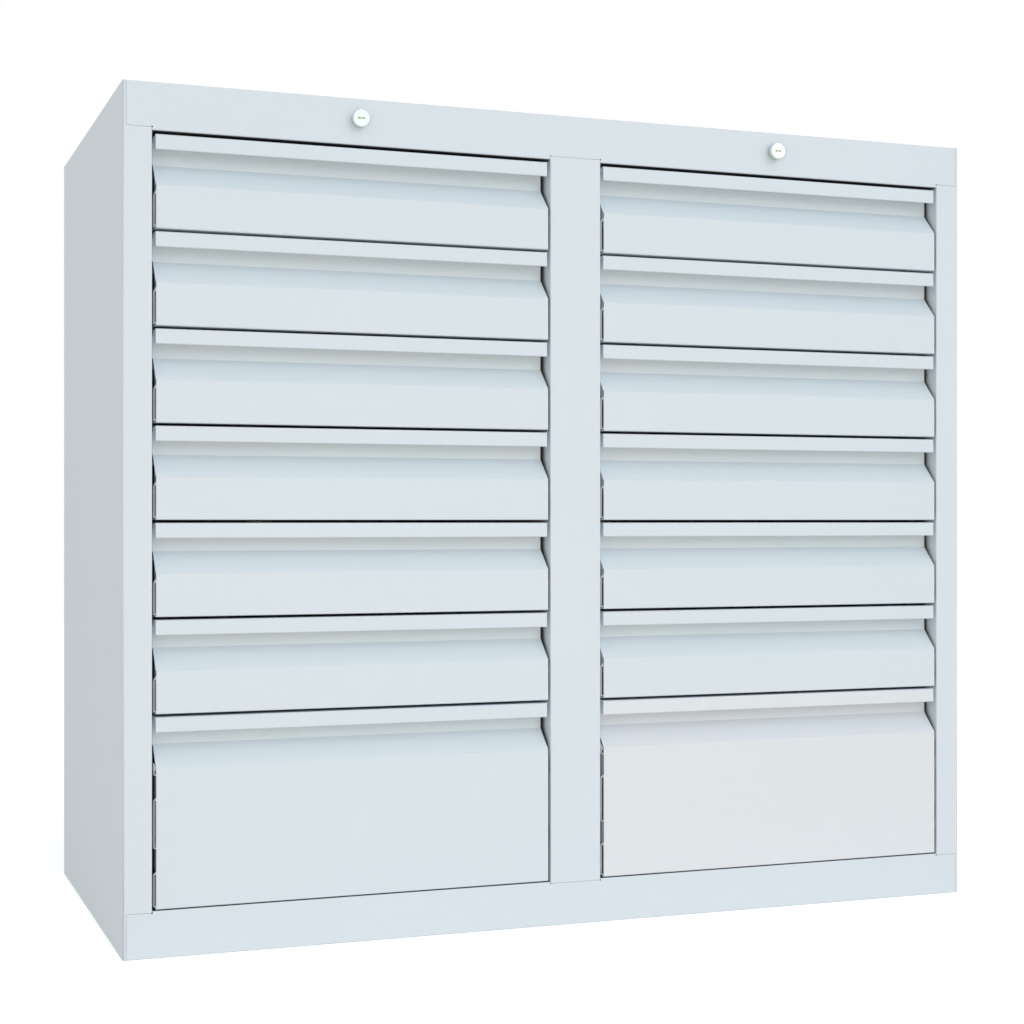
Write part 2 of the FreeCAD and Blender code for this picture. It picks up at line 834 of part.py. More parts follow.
def lock_plug(side, at):
    """The turning plug, with its keyway level while the drawers are free."""
    body = new_body(f"{side}_lock_plug", at)
    centre = ("0", "0")
    face = "-lock_head_length + plug_setback"
    length = "lock_head_length - plug_setback + lock_barrel_length"
    shaft("Pad", body, centre, "plug_radius", face, length)
    keyway = rectangle(
        "-keyway_width / 2", "keyway_width / 2", "-keyway_height / 2", "keyway_height / 2"
    )
    cut_back(body, [keyway], face, "keyway_depth")


def drive_rod(side, at):
    """The rod from a plug to the rear, with the crank and pin that move the locking bar."""
    body = new_body(f"{side}_drive_rod", at)
    centre = ("0", "0")
    start = "lock_barrel_length"
    shaft("Pad", body, centre, "rod_radius", start, f"crank_front - {start}")

    def turned(along, aside):
        across = f"({along}) * cos(crank_angle) - ({aside}) * sin(crank_angle)"
        up = f"({along}) * sin(crank_angle) + ({aside}) * cos(crank_angle)"
        return (across, up)

    half = "crank_half_width"
    reach = f"crank_radius + {half}"
    arm = [
        turned(f"-{half}", f"-{half}"),
        turned(reach, f"-{half}"),
        turned(reach, half),
        turned(f"-{half}", half),
    ]
    pad_back(body, [arm], "crank_front", "crank_sheet")
    pin_start = "crank_front + crank_sheet"
    pin_length = "crank_gap + bar_sheet"
    shaft("Pad", body, ("pin_near", "pin_high"), "crank_pin_radius", pin_start, pin_length)


def lock_nuts():
    """The hexagon nuts that clamp both lock barrels to the top rail."""
    body = new_body("lock_nuts", ("0", "front_y", "lock_z"))
    flat = "lock_nut_width / 2"
    point = "lock_nut_width / 2 / cos(30)"
    loops = []
    for sign in COLUMNS.values():
        middle = f"{sign} * column_x"
        loops.append([
            (f"{middle} + {point}", "0"),
            (f"{middle} + {point} / 2", flat),
            (f"{middle} - {point} / 2", flat),
            (f"{middle} - {point}", "0"),
            (f"{middle} - {point} / 2", f"-{flat}"),
            (f"{middle} + {point} / 2", f"-{flat}"),
        ])
    pad_back(body, loops, "casing_sheet", "lock_nut_thickness")
    for sign in COLUMNS.values():
        centre = (f"{sign} * column_x", "0")
        bore = "lock_barrel_radius + lock_hole_gap"
        shaft("Pocket", body, centre, bore, "casing_sheet", "lock_nut_thickness")


def locking_bar(side, at):
    """A flat bar behind a column, with a hook over the rear wall of every tray."""
    plate = new_body(f"{side}_locking_bar_plate", at, is_node=False)
    low = "lowest_hook_z - bar_foot - lock_z"
    strip = rectangle("-bar_width / 2", "bar_width / 2", low, "bar_head")
    pad_back(plate, [strip], "bar_front", "bar_sheet")
    slot_low = "pin_high - crank_pin_radius - pin_play"
    slot_high = "pin_high + crank_pin_radius + pin_play"
    slot = rectangle(
        "pin_near - crank_pin_radius - pin_play",
        "crank_radius + crank_pin_radius + pin_play",
        slot_low, slot_high,
    )
    cut_back(plate, [slot], "bar_front", "bar_sheet")
    hooks = new_body(f"{side}_locking_bar_hooks", at, is_node=False)
    hook = hook_profile("lowest_hook_z - lock_z")
    pad_across(hooks, [hook], "hook_width")
    hook = hook_profile("shallow_hook_z - lock_z")
    stack = pad_across(hooks, [hook], "hook_width")
    repeat(hooks, stack, "V_Axis", "bay_height", SHALLOW_DRAWERS)
    whole = doc.addObject("Part::Compound", f"{side}_locking_bar")
    whole.Links = [plate, hooks]
    node(whole, f"{side}_locking_bar")


def hook_profile(top):
    """An inverted hook in side view; its finger hangs inside the tray's rear wall."""
    under = f"{top} - hook_sheet"
    return [
        ("bar_front", top),
        ("finger_front", top),
        ("finger_front", f"{under} - hook_finger"),
        ("finger_front + hook_sheet", f"{under} - hook_finger"),
        ("finger_front + hook_sheet", under),
        ("bar_front", under),
    ]


def lock_brackets():
    """The straps that guide both locking bars and the brackets that carry both rods."""
    parts = []
    for side, sign in COLUMNS.items():
        at = (f"{sign} * column_x", "front_y", "0")
        straps = new_body(f"{side}_bar_guides", at, is_node=False)
        inner = "bar_width / 2 + bar_gap"
        outer = f"{inner} + guide_sheet"
        foot = f"{outer} + guide_foot"
        inside = "bar_front - bar_gap"
        right = [
            (outer, f"{inside} - guide_sheet"),
            (outer, "back_inner - guide_sheet"),
            (foot, "back_inner - guide_sheet"),
            (foot, "back_inner"),
            (inner, "back_inner"),
            (inner, inside),
        ]
        left = [(f"-({across})", depth) for across, depth in reversed(right)]
        start = "lowest_hook_z - guide_drop"
        strap = pad_up(straps, [right + left], start, "guide_height")
        repeat(straps, strap, "N_Axis", f"{SHALLOW_DRAWERS // 2} * bay_height", GUIDES_ON_A_BAR)
        parts.append(straps)
        bracket = new_body(f"{side}_rod_bracket", at, is_node=False)
        near_face = "crank_front - bracket_space"
        ceiling = "cabinet_height - casing_sheet"
        angle = [
            (near_face, ceiling),
            (near_face, "lock_z - bracket_width / 2"),
            (f"{near_face} + guide_sheet", "lock_z - bracket_width / 2"),
            (f"{near_face} + guide_sheet", f"{ceiling} - guide_sheet"),
            (f"{near_face} + bracket_flange", f"{ceiling} - guide_sheet"),
            (f"{near_face} + bracket_flange", ceiling),
        ]
        pad_across(bracket, [angle], "bracket_width")
        bore = "rod_radius + rod_gap"
        shaft("Pocket", bracket, ("0", "lock_z"), bore, near_face, "guide_sheet")
        parts.append(bracket)
    whole = doc.addObject("Part::Compound", "lock_brackets")
    whole.Links = parts
    node(whole, "lock_brackets")


def locks():
    """Both columns' locks and locking bars."""
    for side, sign in COLUMNS.items():
        at = (f"{sign} * column_x", "front_y", "lock_z")
        lock_housing(side, at)
        lock_plug(side, at)
        drive_rod(side, at)
        locking_bar(side, at)
    lock_nuts()
    lock_brackets()


# ---------------------------------------------------------------------------------------
# The whole cabinet
# ---------------------------------------------------------------------------------------


def check(things):
    """Stops if an object failed or a sub-part has no sound shape."""
    for item in things:
        if "Invalid" in item.State or "Error" in item.State:
            raise RuntimeError(f"{item.Label} did not compute: {item.State}")
    for item in NODES:
        if item.Shape.isNull() or not item.Shape.isValid():
            raise RuntimeError(f"{item.Label} has no sound shape")


for side, sign in COLUMNS.items():
    side_panel(side, sign)
top_panel()
bottom_panel()
back_panel()
centre_partition()
runner_uprights()
cabinet_runners()
for side, sign in COLUMNS.items():
    drawers(side, sign)
locks()
make_folds()
doc.recompute()
check(doc.Objects)
for item in NODES:
    item.Shape.exportStep(f"parts/{item.Label}.step")
    print(item.Label, len(item.Shape.Solids), "solid(s)", round(item.Shape.Volume), "mm3")
print(len(NODES), "sub-parts")
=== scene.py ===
# %% [markdown]
# # A folded steel slide cabinet
#
# This lesson dresses a finished steel cabinet. The cabinet has two columns of drawers under a
# top rail with two cam locks. Its construction comes in as a fixed frame of separate nodes, and
# each node already has its real size and place. What is left is what the eye judges: the paint,
# the plated steel, the crisp folds of the sheet, and the light.
#
# Everything is in metres. +X points right, +Y to the rear and +Z up, and the drawers open
# towards -Y.

# %% Load the frame
import json
import math

import bmesh
import bpy
from mathutils import Matrix, Vector


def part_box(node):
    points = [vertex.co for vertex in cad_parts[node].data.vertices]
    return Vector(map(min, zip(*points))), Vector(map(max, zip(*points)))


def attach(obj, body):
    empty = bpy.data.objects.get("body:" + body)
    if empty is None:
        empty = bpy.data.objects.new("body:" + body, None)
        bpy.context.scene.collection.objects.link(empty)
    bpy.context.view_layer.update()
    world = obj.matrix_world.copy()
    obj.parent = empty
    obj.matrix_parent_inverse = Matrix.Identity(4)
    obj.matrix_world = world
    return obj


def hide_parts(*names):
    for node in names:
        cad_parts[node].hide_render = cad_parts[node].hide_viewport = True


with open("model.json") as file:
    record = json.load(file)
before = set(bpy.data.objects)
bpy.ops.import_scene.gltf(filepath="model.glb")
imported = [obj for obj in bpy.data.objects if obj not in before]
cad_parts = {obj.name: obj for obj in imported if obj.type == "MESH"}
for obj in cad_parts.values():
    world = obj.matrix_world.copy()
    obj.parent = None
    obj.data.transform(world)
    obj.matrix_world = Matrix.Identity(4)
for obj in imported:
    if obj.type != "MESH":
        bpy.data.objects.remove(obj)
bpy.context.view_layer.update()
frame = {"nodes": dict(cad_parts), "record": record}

# %% [markdown]
# ## Sizes that the looks need
#
# A piece that sits on the cabinet takes its place from the cabinet. What the frame doesn't
# say, such as how thick the sheet is or how far a lip hangs down, gets a named number just
# before it is needed.

# %% Read the main places
MM = 0.001
side_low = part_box("left_side_panel")[0]
top_low, top_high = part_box("top_panel")
CABINET_WIDTH = 2 * abs(side_low.x)
CABINET_HEIGHT = top_high.z
FRONT_Y = top_low.y


def mm(length):
    """A length in millimetres, for printing."""
    return round(length / MM, 2)


print("cabinet:", mm(CABINET_WIDTH), "mm wide,", mm(CABINET_HEIGHT), "mm high")

# %% [markdown]
# ## The camera
#
# The cabinet is seen from about halfway up, a little to its left. A camera without any turn
# looks straight down, and one tipped up by 90 degrees looks level. A level camera keeps all
# the upright edges parallel in the picture, and a small vertical shift then does what an
# architect's shift lens does.

# %% Set up the camera
CAMERA_PLACE = Vector((-0.7804, -2.139, 0.450))
CAMERA_TILT = math.radians(90)
CAMERA_TURN = math.radians(-20.41)
LENS_MM = 64.56
SENSOR_MM = 36.0
FRAME_SHIFT = 0.0081

camera_data = bpy.data.cameras.new("camera")
camera_data.lens = LENS_MM
camera_data.sensor_width = SENSOR_MM
camera_data.sensor_fit = "HORIZONTAL"
camera_data.shift_y = FRAME_SHIFT
camera = bpy.data.objects.new("camera", camera_data)
camera.location = CAMERA_PLACE
camera.rotation_euler = (CAMERA_TILT, 0, CAMERA_TURN)
bpy.context.scene.collection.objects.link(camera)
bpy.context.scene.camera = camera
print("camera:", LENS_MM, "mm lens,", round(math.degrees(CAMERA_TURN), 1), "degrees of turn")

# %% [markdown]
# ## Nodes with fewer words
#
# Every material below is a small network of shader nodes. A few helpers keep the networks
# readable: one starts a material, one adds a node with its settings, one joins two sockets,
# and the others mix two tones or do a sum.

# %% Helpers for materials


def join(network, source, out_name, target, in_name):
    """Joins one socket to another by their names."""
    network.links.new(source.outputs[out_name], target.inputs[in_name])


def add(network, kind, **inputs):
    """Adds a node and sets its unlinked inputs by name."""
    added = network.nodes.new(kind)
    for name, setting in inputs.items():
        added.inputs[name.replace("_", " ")].default_value = setting
    return added


def new_material(name):
    """A material with an empty network, its surface shader and its object coordinates."""
    material = bpy.data.materials.new(name)
    material.use_nodes = True
    network = material.node_tree
    network.nodes.clear()
    output = network.nodes.new("ShaderNodeOutputMaterial")
    shader = network.nodes.new("ShaderNodeBsdfPrincipled")
    place = network.nodes.new("ShaderNodeTexCoord")
    join(network, shader, "BSDF", output, "Surface")
    return material, network, shader, place


def colour(red, green, blue):
    """A colour given as it looks on a screen, 0 to 255, turned into scene-linear values."""

    def linear(part):
        # The screen standard has a short straight start and then a power curve.
        part = part / 255
        return part / 12.92 if part <= 0.04045 else ((part + 0.055) / 1.055) ** 2.4

    return (linear(red), linear(green), linear(blue), 1.0)


def mix_tones(network, share, first, second):
    """A tone that goes from a first to a second one as a share goes from 0 to 1."""
    mix = network.nodes.new("ShaderNodeMix")
    mix.data_type = "RGBA"
    network.links.new(share, mix.inputs["Factor"])
    for letter, tone in (("A", first), ("B", second)):
        if isinstance(tone, tuple):
            mix.inputs[letter].default_value = tone
        else:
            network.links.new(tone, mix.inputs[letter])
    return mix.outputs["Result"]


def calculate(network, operation, first, second):
    """The result of a sum on two sockets, such as MULTIPLY or MAXIMUM."""
    step = network.nodes.new("ShaderNodeMath")
    step.operation = operation
    network.links.new(first, step.inputs[0])
    network.links.new(second, step.inputs[1])
    return step.outputs["Value"]


print("helpers ready; a mid grey of 128 is", round(colour(128, 128, 128)[0], 3), "in the scene")

# %% [markdown]
# ## Powder coat
#
# The casing and the drawer fronts are powder coated. Powder is sprayed on dry and melts into a
# skin that is never quite flat: it keeps a fine ripple that painters call orange peel, a
# millimetre or two across and a few hundredths high. Under even light the ripple is hardly
# seen, but it breaks up the gloss. Two noises make it: a broad one for the ripple and a fine
# one for the grain. A third, very broad noise shifts the colour by a shade or two, because a
# real coat is a little thicker here than there.

# %% Say how a powder coat is made
PEEL_SIZE = 1.6 * MM
PEEL_HEIGHT = 0.05 * MM
PEEL_STRENGTH = 0.12
GRAIN_SIZE = 0.35 * MM
GRAIN_HEIGHT = 0.02 * MM
GRAIN_STRENGTH = 0.10
DRIFT_SIZE = 180 * MM
GLOSS_DRIFT = 0.04
COAT_SPECULAR = 0.35


def noise(network, place, size, detail=2.0, roughness=0.5):
    """A noise whose lumps are about the given size in metres."""
    lumps = add(network, "ShaderNodeTexNoise", Scale=1 / size, Detail=detail, Roughness=roughness)
    join(network, place, "Object", lumps, "Vector")
    return lumps


def powder_coat(name, shade, darker, dullness):
    """A powder coat between two near shades."""
    material, network, shader, place = new_material(name)
    drift = noise(network, place, DRIFT_SIZE)
    tone = mix_tones(network, drift.outputs["Fac"], darker, shade)
    network.links.new(tone, shader.inputs["Base Color"])
    peel = noise(network, place, PEEL_SIZE)
    grain = noise(network, place, GRAIN_SIZE, detail=3.0)
    ripple = add(network, "ShaderNodeBump", Strength=PEEL_STRENGTH, Distance=PEEL_HEIGHT)
    join(network, peel, "Fac", ripple, "Height")
    fine = add(network, "ShaderNodeBump", Strength=GRAIN_STRENGTH, Distance=GRAIN_HEIGHT)
    join(network, grain, "Fac", fine, "Height")
    join(network, ripple, "Normal", fine, "Normal")
    join(network, fine, "Normal", shader, "Normal")
    rough = add(
        network, "ShaderNodeMapRange",
        To_Min=dullness - GLOSS_DRIFT, To_Max=dullness + GLOSS_DRIFT,
    )
    join(network, grain, "Fac", rough, "Value")
    join(network, rough, "Result", shader, "Roughness")
    shader.inputs["Specular IOR Level"].default_value = COAT_SPECULAR
    return material


print("orange peel:", mm(PEEL_SIZE), "mm wide and", mm(PEEL_HEIGHT), "mm high")

# %% [markdown]
# ## Painted shade behind the rails
#
# Each rail turns back behind its front plane, and the face that looks into the opening there is
# painted dark grey: painted shade for the gap it faces. It is one face among many of the rail's,
# so the coat is masked instead of the mesh being cut. Three ramps find it: one picks the faces
# that look down (or up, on the lower rail), one starts a little behind the front, and one stops
# at the end of the fold. Their product is the share of painted shade.

# %% Say where a rail's edge gets painted shade
RAIL_RETURN = 27 * MM
GAP_SHADE_START = 0.3 * MM
GAP_SHADE_FADE = 1.2 * MM
GAP_SHADE_TAIL = 1 * MM
SLANTED = 0.2
NEARLY_LEVEL = 0.8
# Painted shade: the dark grey of a rail's edge in its gap, and of the gaps between fronts.
GAP_SHADE = colour(48, 50, 52)


def ramp(network, source, axis, start, end):
    """A share that goes from 0 at a start to 1 at an end, along one axis of a vector."""
    share = add(network, "ShaderNodeMapRange", From_Min=start, From_Max=end)
    join(network, source, axis, share, "Value")
    return share.outputs["Result"]


def shade_rail_edge(material, upwards):
    """Paints dark shade on the edge face that looks down (-1) or up (+1)."""
    network = material.node_tree
    shader = network.nodes["Principled BSDF"]
    tone = shader.inputs["Base Color"].links[0].from_socket
    facing = network.nodes.new("ShaderNodeNewGeometry")
    normal = network.nodes.new("ShaderNodeSeparateXYZ")
    join(network, facing, "True Normal", normal, "Vector")
    place = network.nodes.new("ShaderNodeTexCoord")
    spot = network.nodes.new("ShaderNodeSeparateXYZ")
    join(network, place, "Object", spot, "Vector")
    start = FRONT_Y + GAP_SHADE_START
    end = FRONT_Y + RAIL_RETURN
    level = ramp(network, normal, "Z", SLANTED * upwards, NEARLY_LEVEL * upwards)
    behind = ramp(network, spot, "Y", start, start + GAP_SHADE_FADE)
    before = ramp(network, spot, "Y", end + GAP_SHADE_TAIL, end)
    share = calculate(network, "MULTIPLY", level, behind)
    share = calculate(network, "MULTIPLY", share, before)
    network.links.new(mix_tones(network, share, tone, GAP_SHADE), shader.inputs["Base Color"])


print("painted shade strip:", mm(RAIL_RETURN - GAP_SHADE_START), "mm deep")

# %% [markdown]
# ## The coats on this cabinet
#
# One pale steel grey covers nearly everything. The folds behind a front's face are a touch
# lighter, which is painted light in the recess, and one deep front is a shade paler. The tabs
# beside the fronts are almost white, which is painted light in the narrow gaps, and the trays are
# duller. The gaps under and over the rails and fronts get a dark grey of painted shade, and the
# slots, the ends of the faces and a strip at each front's right-hand end get a near-black one.

# %% Mix the coats
SATIN = 0.42
SEMI_MATT = 0.5
MATT = 0.6
STEEL_GREY = (colour(216, 226, 234), colour(213, 224, 232))
PALE_GREY = (colour(222, 228, 233), colour(220, 226, 231))
# Painted light: the recess and the other folds behind a front's face are a shade lighter than the
# face.
LIT_FOLD_GREY = (colour(217, 228, 236), colour(214, 226, 234))
PALE_LIT_FOLD_GREY = (colour(220, 227, 234), colour(218, 225, 232))
# Painted shade for the gaps: the dark grey of the rails' edges and of the tops and undersides of
# the fronts.
GAP_SHADE_GREY = (GAP_SHADE, colour(42, 44, 46))
# Near-black painted shade for the slots, the ends of the face and the strip at each front's
# right-hand end.
SLOT_SHADE_GREY = (colour(24, 25, 26), colour(20, 21, 22))
# Painted light: the tabs stand in a narrow gap and are near white so they look lit.
TAB_LIT_WHITE = (colour(248, 251, 252), colour(245, 249, 251))
TRAY_GREY = (colour(214, 220, 224), colour(209, 216, 220))

# Each rail's edge that looks into the gap gets painted shade: looking down on the top rail, up on
# the bottom rail.
casing_paint = powder_coat("casing_paint", *STEEL_GREY, SATIN)
shade_rail_edge(casing_paint, -1)
lower_paint = powder_coat("casing_paint_lower", *STEEL_GREY, SATIN)
shade_rail_edge(lower_paint, 1)
front_paint = powder_coat("front_paint", *STEEL_GREY, SATIN)
pale_paint = powder_coat("front_paint_pale", *PALE_GREY, SATIN)
lit_fold_paint = powder_coat("front_paint_lit_fold", *LIT_FOLD_GREY, SATIN)
pale_lit_fold = powder_coat("front_paint_pale_lit_fold", *PALE_LIT_FOLD_GREY, SATIN)
painted_gap_shade = powder_coat("painted_gap_shade", *GAP_SHADE_GREY, MATT)
painted_slot_shade = powder_coat("painted_slot_shade", *SLOT_SHADE_GREY, MATT)
tab_lit_paint = powder_coat("tab_lit_paint", *TAB_LIT_WHITE, SEMI_MATT)
tray_paint = powder_coat("tray_paint", *TRAY_GREY, SEMI_MATT)
print("powder coats:", casing_paint.name, front_paint.name, tray_paint.name)

# %% [markdown]
# ## Zinc, nickel and brass
#
# The runners, rods and bars are zinc plated. Zinc is a soft grey metal with a faint bloom in
# patches, and the sheet below keeps long rolling marks. A noise squeezed along one axis draws
# them. The lock heads are die-cast and nickel plated, their plugs are polished, and the wafers
# inside the keyway are plain brass. The side of each head is a paler, part-metallic coat: painted
# light that keeps its shaded side bright.

# %% Make the metals
BLOOM_SIZE = 9 * MM
ZINC_TONES = (colour(176, 180, 182), colour(205, 208, 210))
ZINC_ROUGHNESS = (0.28, 0.48)
MARK_WIDTH = 0.5 * MM
MARK_SQUEEZE = (1.0, 0.04, 1.0)
MARK_HEIGHT = 0.02 * MM
MARK_STRENGTH = 0.15
FACE_NICKEL = (colour(186, 197, 195), colour(190, 200, 198))
# Painted light: the side of a lock head is paler and part metallic, so its shaded side stays
# bright.
SIDE_LIT_NICKEL = (colour(212, 226, 220), colour(218, 230, 225))
BRASS = (colour(186, 188, 156), colour(200, 200, 170))


def zinc_plate(name):
    """Zinc plating with a mottled bloom and fine lengthwise marks."""
    material, network, shader, place = new_material(name)
    bloom = noise(network, place, BLOOM_SIZE, detail=4.0, roughness=0.6)
    tone = mix_tones(network, bloom.outputs["Fac"], *ZINC_TONES)
    network.links.new(tone, shader.inputs["Base Color"])
    shader.inputs["Metallic"].default_value = 1.0
    smooth, dull = ZINC_ROUGHNESS
    rough = add(network, "ShaderNodeMapRange", To_Min=smooth, To_Max=dull)
    join(network, bloom, "Fac", rough, "Value")
    join(network, rough, "Result", shader, "Roughness")
    stretched = add(network, "ShaderNodeMapping", Scale=MARK_SQUEEZE)
    join(network, place, "Object", stretched, "Vector")
    marks = add(network, "ShaderNodeTexNoise", Scale=1 / MARK_WIDTH, Detail=2.0)
    join(network, stretched, "Vector", marks, "Vector")
    bump = add(network, "ShaderNodeBump", Strength=MARK_STRENGTH, Distance=MARK_HEIGHT)
    join(network, marks, "Fac", bump, "Height")
    join(network, bump, "Normal", shader, "Normal")
    return material


def plain_metal(name, tones, smooth, dull, grain, metallic=1.0):
    """A plated or bare metal whose tone and gloss drift a little over fine marks."""
    material, network, shader, place = new_material(name)
    marks = noise(network, place, grain, detail=3.0)
    tone = mix_tones(network, marks.outputs["Fac"], *tones)
    network.links.new(tone, shader.inputs["Base Color"])
    rough = add(network, "ShaderNodeMapRange", To_Min=smooth, To_Max=dull)
    join(network, marks, "Fac", rough, "Value")
    join(network, rough, "Result", shader, "Roughness")
    shader.inputs["Metallic"].default_value = metallic
    return material


zinc = zinc_plate("zinc_plated_steel")
chrome = plain_metal("lock_chrome", FACE_NICKEL, smooth=0.16, dull=0.26, grain=0.25 * MM)
lit_nickel = plain_metal(
    "lock_side_lit_nickel", SIDE_LIT_NICKEL, smooth=0.40, dull=0.50, grain=0.4 * MM, metallic=0.3
)
brass = plain_metal(
    "keyway_brass", BRASS, smooth=0.40, dull=0.55, grain=0.3 * MM, metallic=0.2
)
print("metals:", zinc.name, chrome.name, lit_nickel.name, brass.name)

# %% [markdown]
# ## A finish for every node
#
# The frame's record says which finish each node has: paint on the casing, the fronts and the
# trays, zinc on the runners and the linkage, and plating on the locks. The plain solids that no
# later piece replaces are seen just as they are given here. The bottom sheet gets the coat whose
# painted shade lies on the edge that looks up, because its rail lies under the drawers.

# %% Give every node its finish
FINISHES = {
    "casing_paint": casing_paint,
    "front_paint": front_paint,
    "tray_paint": tray_paint,
    "zinc_plated_steel": zinc,
    "lock_chrome": chrome,
}
for part in frame["record"]["subparts"]:
    mesh = frame["nodes"][part["node"]].data
    mesh.materials.clear()
    mesh.materials.append(FINISHES[part["material_slot"]])
frame["nodes"]["bottom_panel"].data.materials[0] = lower_paint

# %% [markdown]
# ## Folding a sheet
#
# A press brake bends a flat blank along straight lines, so a folded part has one side view
# all along its length. Here that side view is a closed outline. Each of its corners is
# bevelled to the radius that the bend leaves, large outside and small inside, and the
# finished outline is pushed along the fold. A very small bevel afterwards breaks the cut
# edges, which is what lets them catch the light.

# %% Tools for folded sheet
SHEET = 1.2 * MM
OUTSIDE = 1.4 * MM
INSIDE = 0.3 * MM
SHARP = 0.0
ARC_STEPS = 5
EDGE_BREAK = 0.12 * MM
BREAK_ANGLE = math.radians(50)
FLAT_WIDTH = 0.6 * MM
QUAD_CORNERS = 4


def turn_at(corner):
    """The angle by which an outline turns at one of its vertices."""
    first, second = [edge.other_vert(corner).co - corner.co for edge in corner.link_edges]
    return math.pi - first.angle(second)


def outline_face(mesh, points, radii):
    """A face from corner points, each corner rounded to its own radius."""
    corners = [mesh.verts.new(point) for point in points]
    mesh.faces.new(corners)
    for corner, radius in zip(corners, radii):
        if radius > 0:
            bmesh.ops.bevel(
                mesh, geom=[corner], offset=radius * math.tan(turn_at(corner) / 2),
                offset_type="OFFSET", segments=ARC_STEPS, profile=0.5,
                affect="VERTICES", material=-1, clamp_overlap=False,
            )
    return mesh.faces[:][-1]


def push(mesh, faces, along):
    """Gives faces a thickness by extruding them along a direction."""
    swept = bmesh.ops.extrude_face_region(mesh, geom=faces, use_keep_orig=True)
    ends = [item for item in swept["geom"] if isinstance(item, bmesh.types.BMVert)]
    bmesh.ops.translate(mesh, verts=ends, vec=along)


def bar(points, radii, along):
    """A new mesh: a rounded outline pushed along a direction."""
    mesh = bmesh.new()
    face = outline_face(mesh, points, radii)
    push(mesh, [face], along)
    return mesh


def cut_ends(mesh):
    """Cuts a bar's many-sided end faces into triangles."""
    ends = [face for face in mesh.faces if len(face.verts) > QUAD_CORNERS]
    bmesh.ops.triangulate(mesh, faces=ends)


def merge_meshes(meshes):
    """One mesh from several; the parts keep their own shells."""
    whole = bmesh.new()
    for part in meshes:
        scratch = bpy.data.meshes.new("scratch")
        part.to_mesh(scratch)
        part.free()
        whole.from_mesh(scratch)
        bpy.data.meshes.remove(scratch)
    return whole


def soften_arcs(mesh):
    """Shades the narrow faces of the bends smooth and leaves the flat faces flat."""
    for face in mesh.faces:
        longest = max(edge.calc_length() for edge in face.edges)
        face.smooth = face.calc_area() / longest < FLAT_WIDTH


print("sheet:", mm(SHEET), "mm thick, bent to", mm(OUTSIDE), "mm outside")

# %% [markdown]
# ## Showing a piece
#
# A finished bmesh becomes an object, gets its materials, and is told which body it rides, so
# it moves when that body moves. The Bevel modifier breaks the sharp edges only: those where
# the surface turns by more than a given angle.

# %% A tool that shows a piece


def show(mesh, name, body, materials, edge_break=EDGE_BREAK):
    """Turns a mesh into a shown piece that rides a body."""
    bmesh.ops.recalc_face_normals(mesh, faces=mesh.faces)
    data = bpy.data.meshes.new(name)
    mesh.to_mesh(data)
    mesh.free()
    for material in materials:
        data.materials.append(material)
    piece = bpy.data.objects.new(name, data)
    bpy.context.scene.collection.objects.link(piece)
    if edge_break:
        broken = piece.modifiers.new("broken_edges", "BEVEL")
        broken.width = edge_break
        broken.segments = 1
        broken.limit_method = "ANGLE"
        broken.angle_limit = BREAK_ANGLE
        broken.mark_sharp = True
        broken.use_clamp_overlap = True
    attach(piece, body)
    return piece


print("edges are broken by", mm(EDGE_BREAK), "mm")

# %% [markdown]
# ## The casing's upright folds
#
# The side walls and the centre post are folded the same way, along upright lines. Where the
# sheet turns into the cabinet its fold is crisp, and the outer corners are rounder. The
# stiles and the post stop at the rails and the walls behind them go on, so part of the plan
# view is shortened at both ends. A hair's breadth of outline beside each step keeps the cut
# square.

# %% Tools for the upright folds
CASING_SHEET = 1.5 * MM
CASING_CORNER = 1.5 * MM
REAR_CORNER = 0.9 * CASING_CORNER
CRISP_FOLD = 0.6 * MM
STILE_RETURN = 27 * MM
REAR_FLANGE = 20 * MM
RAIL_INSET = 3.2 * MM
STEP = 0.02 * MM
TOP_LAP = 3.7 * MM
BOTTOM_LAP = 1.7 * MM
top_rail_low = top_low.z
bottom_rail_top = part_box("bottom_panel")[1].z
stile_ends = (bottom_rail_top - BOTTOM_LAP, top_rail_low + TOP_LAP)


def casing_bar(corners, low, high):
    """An upright bar from plan corners, with its end faces cut into triangles."""
    points = [(across, back, low) for (across, back), radius in corners]
    mesh = bar(points, [radius for corner, radius in corners], (0, 0, high - low))
    cut_ends(mesh)
    return mesh


def shorten(mesh, is_short, low, high):
    """Moves the ends of part of an upright bar to a lower and a higher limit."""
    for vert in mesh.verts:
        if is_short(vert.co):
            vert.co.z = min(max(vert.co.z, low), high)


print("stiles:", mm(stile_ends[1] - stile_ends[0]), "mm long")

# %% [markdown]
# ## Side walls
#
# A side wall is one sheet. In plan it runs from the rear flange along the side, round the
# front corner and across the narrow stile, and ends in the stile's return beside the drawers.

# %% Fold the side walls


